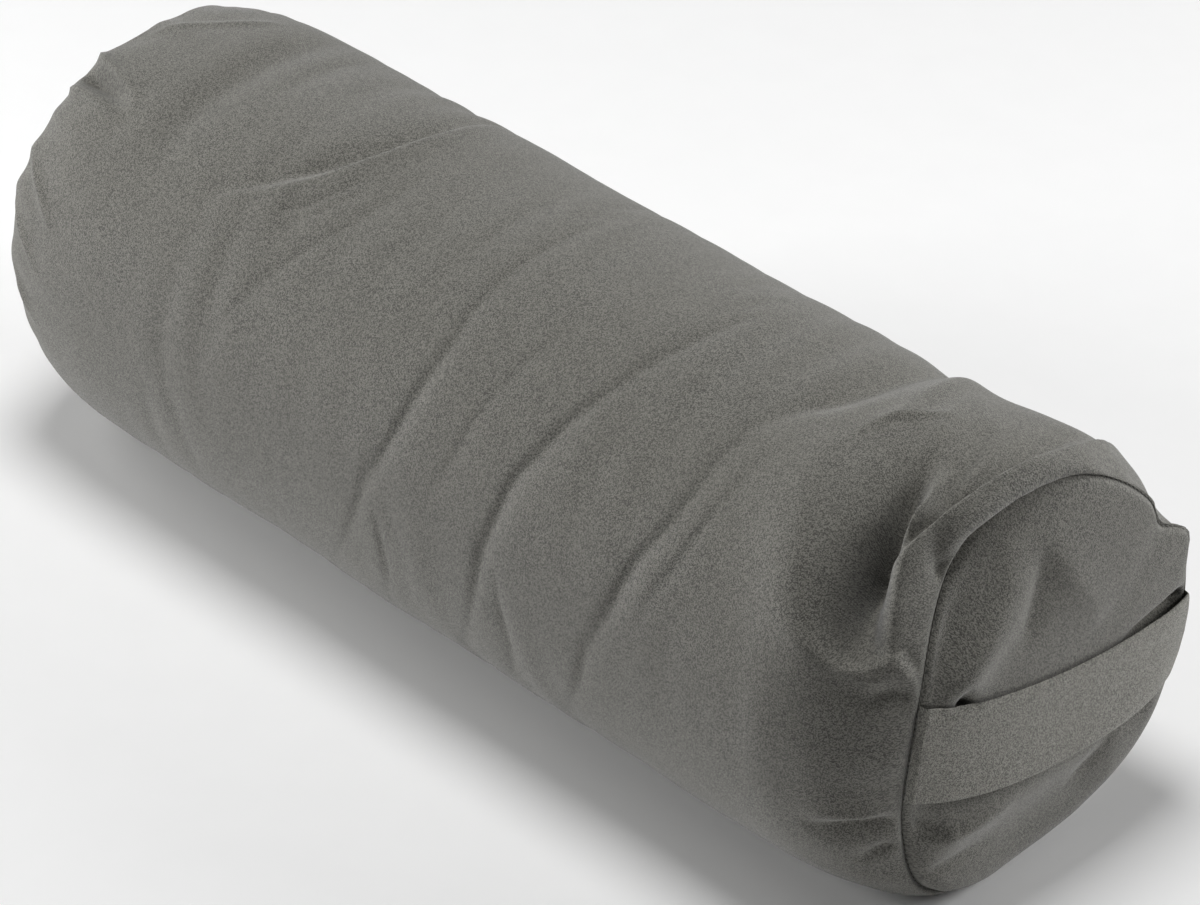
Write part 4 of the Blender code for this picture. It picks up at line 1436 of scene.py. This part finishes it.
def inner_points(inner, strength):
    """A tube inside the cover as a grid: the cover drawn in towards its middle line by an inset.

    Its distance from that line is the least of the cover's nearby, softened, less the inset. Its
    ends stop short of the seams along X.
    """
    rows, columns = INNER_GRID
    along = np.linspace(seam_along(REAR), seam_along(FRONT), rows)
    points = cover_points(along, even_angles(columns), strength)
    front, rear = drawn_in(along, FRONT)[1], drawn_in(along, REAR)[1]
    axis = np.full((rows, 1, 2), INNER_MIDDLE_HEIGHT)
    axis[:, 0, 0] = FRONT.shift * front + REAR.shift * rear
    arm = points[..., 1:] - axis
    distance = np.linalg.norm(arm, axis=-1)
    wide = softened(lowest_near(distance, 2, 2), 6)
    near = softened(np.minimum(wide, lowest_near(distance, 1, 1)), 2) - inner.inset
    points[..., 1:] = axis + arm * (near / distance)[..., None]
    ahead, behind = (
        smooth_step((share - INNER_ENDS_FROM) / (1 - INNER_ENDS_FROM)) for share in (front, rear)
    )
    lip = seam_dip(seam_along(FRONT) - along) - seam_dip(along - seam_along(REAR))
    points[..., 0] += (lip - inner.short * (ahead - behind))[:, None]
    points[..., 2] = np.maximum(points[..., 2], INNER_OFF_FLOOR + INNER_SINKS * inner.inset)
    return points


def inner_disc(end, ring, height, inset):
    """Rings that close an inner tube: its last ring shrunk to its middle, behind the cover's disc.

    At share r of the way out, x runs from the ring's to the crown's by 1 - r ^ CROWN_POWER, and
    the cover disc's dents push it in.
    """
    share = np.linspace(1, 0.06, INNER_RINGS)[1:, None]
    middle = disc_middle(end)
    middle[0] -= end.side * (inset + INNER_DISC_BACK)
    y = middle[1] + share * (ring[:, 1] - middle[1])
    z = middle[2] + share * (ring[:, 2] - middle[2])
    bend = share**CROWN_POWER
    x = ring[:, 0] * bend + middle[0] * (1 - bend)
    x = x + end.side * np.minimum(height(y, z), 0.0) * (1 - bend)
    return np.stack((x, y, z), axis=-1)


def closed_roll(name, inner, strength, unevenness=0.0):
    """A closed roll inside the cover: an inner tube with both of its discs, closed by two fans."""
    tube = inner_points(inner, strength)
    rear = inner_disc(REAR, tube[0], rear_disc_height, inner.inset)[::-1]
    front = inner_disc(FRONT, tube[-1], front_disc_height, inner.inset)
    points = np.concatenate((rear, tube, front))
    rows, count = points.shape[:2]
    if unevenness:
        row = np.arange(rows)[:, None] / 50 + np.zeros(count)
        arc = np.linspace(0, GIRTH, count + 1)[:-1] + np.zeros((rows, 1))
        dents = 1 + lumps(row, arc, 12, (0.05, 0.3), 20, 21).clip(-1, 1)
        points = points - outward(points) * unevenness * dents[..., None]
    faces = grid_faces(rows, count).reshape(-1, 4)
    first, last = np.arange(count), (rows - 1) * count + np.arange(count)
    fans = np.concatenate((
        np.stack((np.roll(first, -1), first, np.full(count, rows * count)), axis=1),
        np.stack((last, np.roll(last, -1), np.full(count, rows * count + 1)), axis=1),
    ))
    round_it = np.linspace(0, GIRTH, count + 1)
    corners = grid_corners(lengths_along(points[:, 0]), round_it).reshape(-1, 2)
    centres = np.stack((points[0].mean(axis=0), points[-1].mean(axis=0)))
    points = np.concatenate((points.reshape(-1, 3), centres))
    corners = np.concatenate((corners, points[fans].reshape(-1, 3)[:, 1:]))
    return mesh_object(name, points, faces.tolist() + fans.tolist(), corners)


class BOLSTER_OT_inside(bpy.types.Operator):
    """The inner cotton bag with its seams, and the stuffing in it"""

    bl_idname = "bolster.inside"
    bl_label = "Inner bag and stuffing"

    def execute(self, context):
        strength = context.scene.bolster.fold_strength
        bag = closed_roll("inner_bag", BAG, strength)
        add_solidify(bag, BAG_CLOTH)
        bag.data.materials.append(plain_weave_finish("bag_cotton", (0.60, 0.56, 0.47), 0.9))
        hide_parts("liner_body", "liner_front_panel", "liner_rear_panel")
        stuffing = closed_roll("stuffing", STUFFING, strength, STUFFING_UNEVEN)
        stuffing.data.materials.append(fibre_finish("fibre_fill", (0.78, 0.75, 0.68)))
        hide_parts("filling")
        for piece in (bag, stuffing):
            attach(piece, "bolster")
        tube = inner_points(BAG_THREAD, strength)
        for end, ring, name, node in (
            (FRONT, tube[-1], "bag_front_stitches", "liner_front_thread"),
            (REAR, tube[0], "bag_rear_stitches", "liner_rear_thread"),
        ):
            stitches = stitch_row(name, ring, ring * 0 + (end.side, 0, 0), BAG_STITCH)
            stitches.data.materials.append(thread_finish(node + "_cotton", (0.66, 0.62, 0.53)))
            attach(stitches, "bolster")
            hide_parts(node)
        return {"FINISHED"}


def fibre_finish(name, colour):
    """Carded fibre: long soft strands over a fluffy ground."""
    finish = Finish(name, 1.0, Sheen_Weight=0.5)
    place = finish.place()
    strands = finish.noise(finish.turned(place, 0.4, (0.25, 1.0, 1.0)), 2.2, 5.0, 0.65)
    base = finish.mix(strands, tint(colour, 0.85), tint(colour, 1.1))
    return finish.wear(base, strands, 0.0012, 0.8)


# Stitches

def stitch_row(name, path, out, stitch):
    """Short threads along a closed line, as one mesh: rods whose ends turn down into the cloth.

    path and out are rows of points and of the directions away from the cloth. A stitch runs from
    distance a to b along the line. At share s of it, it stands radius x (1.6 sin(pi s) - 0.8) out,
    and its thickness is radius x the root of 1 - (2 s - 1) ^ 4.
    """
    path, out = np.concatenate((path, path[:1])), np.concatenate((out, out[:1]))
    lengths = lengths_along(path)
    count = int(round(lengths[-1] / (stitch.length + stitch.gap)))
    pitch = lengths[-1] / count
    share = np.linspace(0, 1, STITCH_RINGS)
    at = np.arange(count)[:, None] * pitch + stitch.gap / 2 + share * (pitch - stitch.gap)
    middle, away = (
        np.stack([np.interp(at, lengths, row[:, axis]) for axis in range(3)], axis=-1)
        for row in (path, out)
    )
    along = unit(np.gradient(middle, axis=1))
    side = unit(np.cross(along, away))
    away = np.cross(side, along)
    lift = stitch.radius * (1.6 * np.sin(np.pi * share) - 0.8)
    thick = stitch.radius * np.sqrt(np.clip(1 - (2 * share - 1) ** 4, 0.05, 1))
    turn = np.linspace(0, 2 * np.pi, STITCH_SIDES + 1)[:-1, None]
    loop = np.cos(turn) * side[:, :, None] + np.sin(turn) * away[:, :, None]
    points = (middle + away * lift[:, None])[:, :, None] + loop * thick[:, None, None]
    first = np.arange(count)[:, None, None] * STITCH_RINGS * STITCH_SIDES
    rods = grid_faces(STITCH_RINGS, STITCH_SIDES).reshape(-1, 4)[:, ::-1]
    caps = np.array(tube_caps(STITCH_RINGS, STITCH_SIDES))[:, ::-1]
    faces, ends = (first + rods).reshape(-1, 4), (first + caps).reshape(-1, STITCH_SIDES)
    return mesh_object(name, points, faces.tolist() + ends.tolist())


class BOLSTER_OT_seams(bpy.types.Operator):
    """The stitches in the groove of each end seam"""

    bl_idname = "bolster.seams"
    bl_label = "Seam stitches"

    def execute(self, context):
        theta = even_angles(SEAM_COLUMNS)
        finish = thread_finish("seam_thread", (0.150, 0.147, 0.130))
        for end, name, node in (
            (FRONT, "front_seam_stitches", "cover_front_thread"),
            (REAR, "rear_seam_stitches", "cover_rear_thread"),
        ):
            ring = seam_points(end, theta)
            ring[:, 0] -= end.side * SEAM_DIP * SEAM_STITCH_DEPTH
            stitches = stitch_row(name, ring, ring * 0 + (end.side, 0, 0), SEAM_STITCH)
            stitches.data.materials.append(finish)
            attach(stitches, "bolster")
            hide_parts(node)
        return {"FINISHED"}


# Zip

def zip_place(x, down, out):
    """Points on the zip: so far along X, downwards across it and outwards from the cover's face."""
    x, down, out = (part[..., None] for part in np.broadcast_arrays(x, down, out))
    return ZIP_MIDDLE + x * (1, 0, 0) + down * ZIP_DOWN + out * ZIP_OUT


def coil_points(side):
    """One row of coil teeth as a grid [along, round the wire, 3].

    The wire's middle line turns once a pitch: at angle a it is across = middle + half x cos(a),
    height = tall x sin(a) - depth, and it moves along by one pitch a turn. The upper row is half a
    turn behind the lower, so their teeth mesh. The wire is round.
    """
    start, end = SLOT_FROM + COIL_SHORT, SLOT_TO - COIL_SHORT
    turns = int((end - start) / COIL_PITCH)
    angle = np.linspace(0, 2 * np.pi * turns, turns * COIL_STEPS + 1)
    phase = 0.0 if side > 0 else np.pi
    across = COIL_MIDDLE + COIL_HALF * np.cos(angle + phase)
    height = COIL_TALL * np.sin(angle + phase) - COIL_DEPTH
    line = np.stack((start + COIL_PITCH * angle / (2 * np.pi), side * across, height), axis=-1)
    along = unit(np.gradient(line, axis=0))
    first = unit(np.cross(along, (1.0, 0.0, 0.0)))
    second = np.cross(along, first)
    turn = np.linspace(0, 2 * np.pi, COIL_SIDES + 1)[:-1, None]
    loop = np.cos(turn) * first[:, None] + np.sin(turn) * second[:, None]
    points = line[:, None] + COIL_WIRE * loop
    return zip_place(points[..., 0], points[..., 1], points[..., 2])


def tape_points(side):
    """One zip tape as a grid [along, round, 3]: a thin flat ribbon beside the middle of the zip."""
    rows, columns = TAPE_GRID
    x = np.linspace(SLOT_FROM - TAPE_BEYOND, SLOT_TO + TAPE_BEYOND, rows)[:, None]
    across = np.linspace(TAPE_FROM, TAPE_TO, columns)
    down = np.concatenate((across, across[::-1]))
    out = np.repeat((-TAPE_DEPTH, -TAPE_DEPTH - TAPE_THICKNESS), columns)
    return zip_place(x, side * down, out)


def slot_outline():
    """The line of stitches round the slot: a rectangle whose corners are quarter circles."""
    turn = np.linspace(0, np.pi / 2, 7)[:-1]
    beyond = ZIP_STITCH_OFF - ZIP_STITCH_TURN
    rear, front, half = SLOT_FROM - beyond, SLOT_TO + beyond, SLOT_HALF + beyond
    corners = np.array(((front, half), (rear, half), (rear, -half), (front, -half)))
    centre_x, centre_down = np.repeat(corners, len(turn), axis=0).T
    angle = np.concatenate([turn + quarter * np.pi / 2 for quarter in range(4)])
    x = centre_x + ZIP_STITCH_TURN * np.cos(angle)
    down = centre_down + ZIP_STITCH_TURN * np.sin(angle)
    return zip_place(x, down, ZIP_STITCH_LIFT)


class BOLSTER_OT_zip(bpy.types.Operator):
    """The zip: two woven tapes, two rows of coil teeth, and the stitching round its slot"""

    bl_idname = "bolster.zip"
    bl_label = "Zip"

    def execute(self, context):
        tape = plain_weave_finish("zip_tape_weave", (0.105, 0.103, 0.094), 0.7)
        coil = coil_finish("zip_coil_nylon", (0.12, 0.118, 0.108))
        for name, side in (("lower", 1), ("upper", -1)):
            points = tape_points(side)
            rows, count = points.shape[:2]
            faces = grid_faces(rows, count).reshape(-1, 4)
            length = np.linspace(0, SLOT_TO - SLOT_FROM + 2 * TAPE_BEYOND, rows)
            across = np.linspace(0, 2 * (TAPE_TO - TAPE_FROM + TAPE_THICKNESS), count + 1)
            uv = grid_corners(length, across).reshape(-1, 4, 2)
            if side > 0:
                faces, uv = faces[:, ::-1], uv[:, ::-1]
            uv = np.concatenate((uv.reshape(-1, 2), np.zeros((2 * count, 2))))
            faces = faces.tolist() + [cap[::-side] for cap in tube_caps(rows, count)]
            ribbon = mesh_object(f"zip_{name}_tape", points, faces, uv)
            ribbon.data.set_sharp_from_angle(angle=0.7)
            ribbon.data.materials.append(tape)
            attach(ribbon, "bolster")
            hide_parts(f"zip_tape_{name}")
            points = coil_points(side)
            rows, count = points.shape[:2]
            faces = grid_faces(rows, count).reshape(-1, 4).tolist()
            teeth = mesh_object(f"zip_{name}_coil", points, faces + tube_caps(rows, count))
            teeth.data.materials.append(coil)
            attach(teeth, "bolster")
            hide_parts(f"zip_teeth_{name}")
        path = slot_outline()
        stitches = stitch_row("zip_slot_stitches", path, path * 0 + ZIP_OUT, ZIP_STITCH)
        stitches.data.materials.append(thread_finish("topstitch_thread", (0.155, 0.152, 0.135)))
        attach(stitches, "bolster")
        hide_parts("zip_topstitch")
        metal = metal_finish("zip_gunmetal", (0.30, 0.295, 0.28))
        for node in ("zip_slider", "zip_pull", "zip_front_stop", "zip_rear_stop"):
            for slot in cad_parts[node].material_slots:
                slot.material = metal
        return {"FINISHED"}


def coil_finish(name, colour):
    """Nylon monofilament, slightly glossy and uneven along its length."""
    finish = Finish(name, 0.38, Coat_Weight=0.2)
    uneven = finish.noise(finish.place(), 3.0, 2.0)
    base = finish.mix(uneven, tint(colour, 0.8), tint(colour, 1.25))
    return finish.wear(base, roughness=uneven * 0.2 + 0.3)


def metal_finish(name, colour):
    """Plated zinc, with small pits and patches rubbed brighter at random."""
    finish = Finish(name, 0.34, Metallic=1.0)
    place = finish.place()
    pits, rub = finish.noise(place, 0.5, 3.0), finish.noise(place, 2.5, 2.0)
    base = finish.mix((rub * 1.6 - 0.3).clamped(), tint(colour, 0.8), tint(colour, 1.5))
    return finish.wear(base, pits, 0.00002, 0.6, roughness=rub * 0.25 + 0.24)


# Panel, and what Blender registers

class BOLSTER_PT_panel(bpy.types.Panel):
    """Lists the bolster's sizes, colours and pieces"""

    bl_idname = "BOLSTER_PT_panel"
    bl_label = "Yoga bolster"
    bl_space_type = "VIEW_3D"
    bl_region_type = "UI"
    bl_category = "Bolster"

    def draw(self, context):
        for prop in ("cover_colour", "fold_strength", "floor_colour"):
            self.layout.prop(context.scene.bolster, prop)
        for operator in OPERATORS:
            self.layout.operator(operator.bl_idname)


OPERATORS = (
    BOLSTER_OT_stage,
    BOLSTER_OT_cover,
    BOLSTER_OT_discs,
    BOLSTER_OT_seams,
    BOLSTER_OT_strap,
    BOLSTER_OT_zip,
    BOLSTER_OT_inside,
)
CLASSES = (BolsterSizes, *OPERATORS, BOLSTER_PT_panel)


def register():
    for cls in CLASSES:
        bpy.utils.register_class(cls)
    bpy.types.Scene.bolster = bpy.props.PointerProperty(type=BolsterSizes)


def unregister():
    del bpy.types.Scene.bolster
    for cls in reversed(CLASSES):
        bpy.utils.unregister_class(cls)


def main():
    register()
    for operator in OPERATORS:
        group, name = operator.bl_idname.split(".")
        getattr(getattr(bpy.ops, group), name)()


if __name__ == "__main__":
    main()
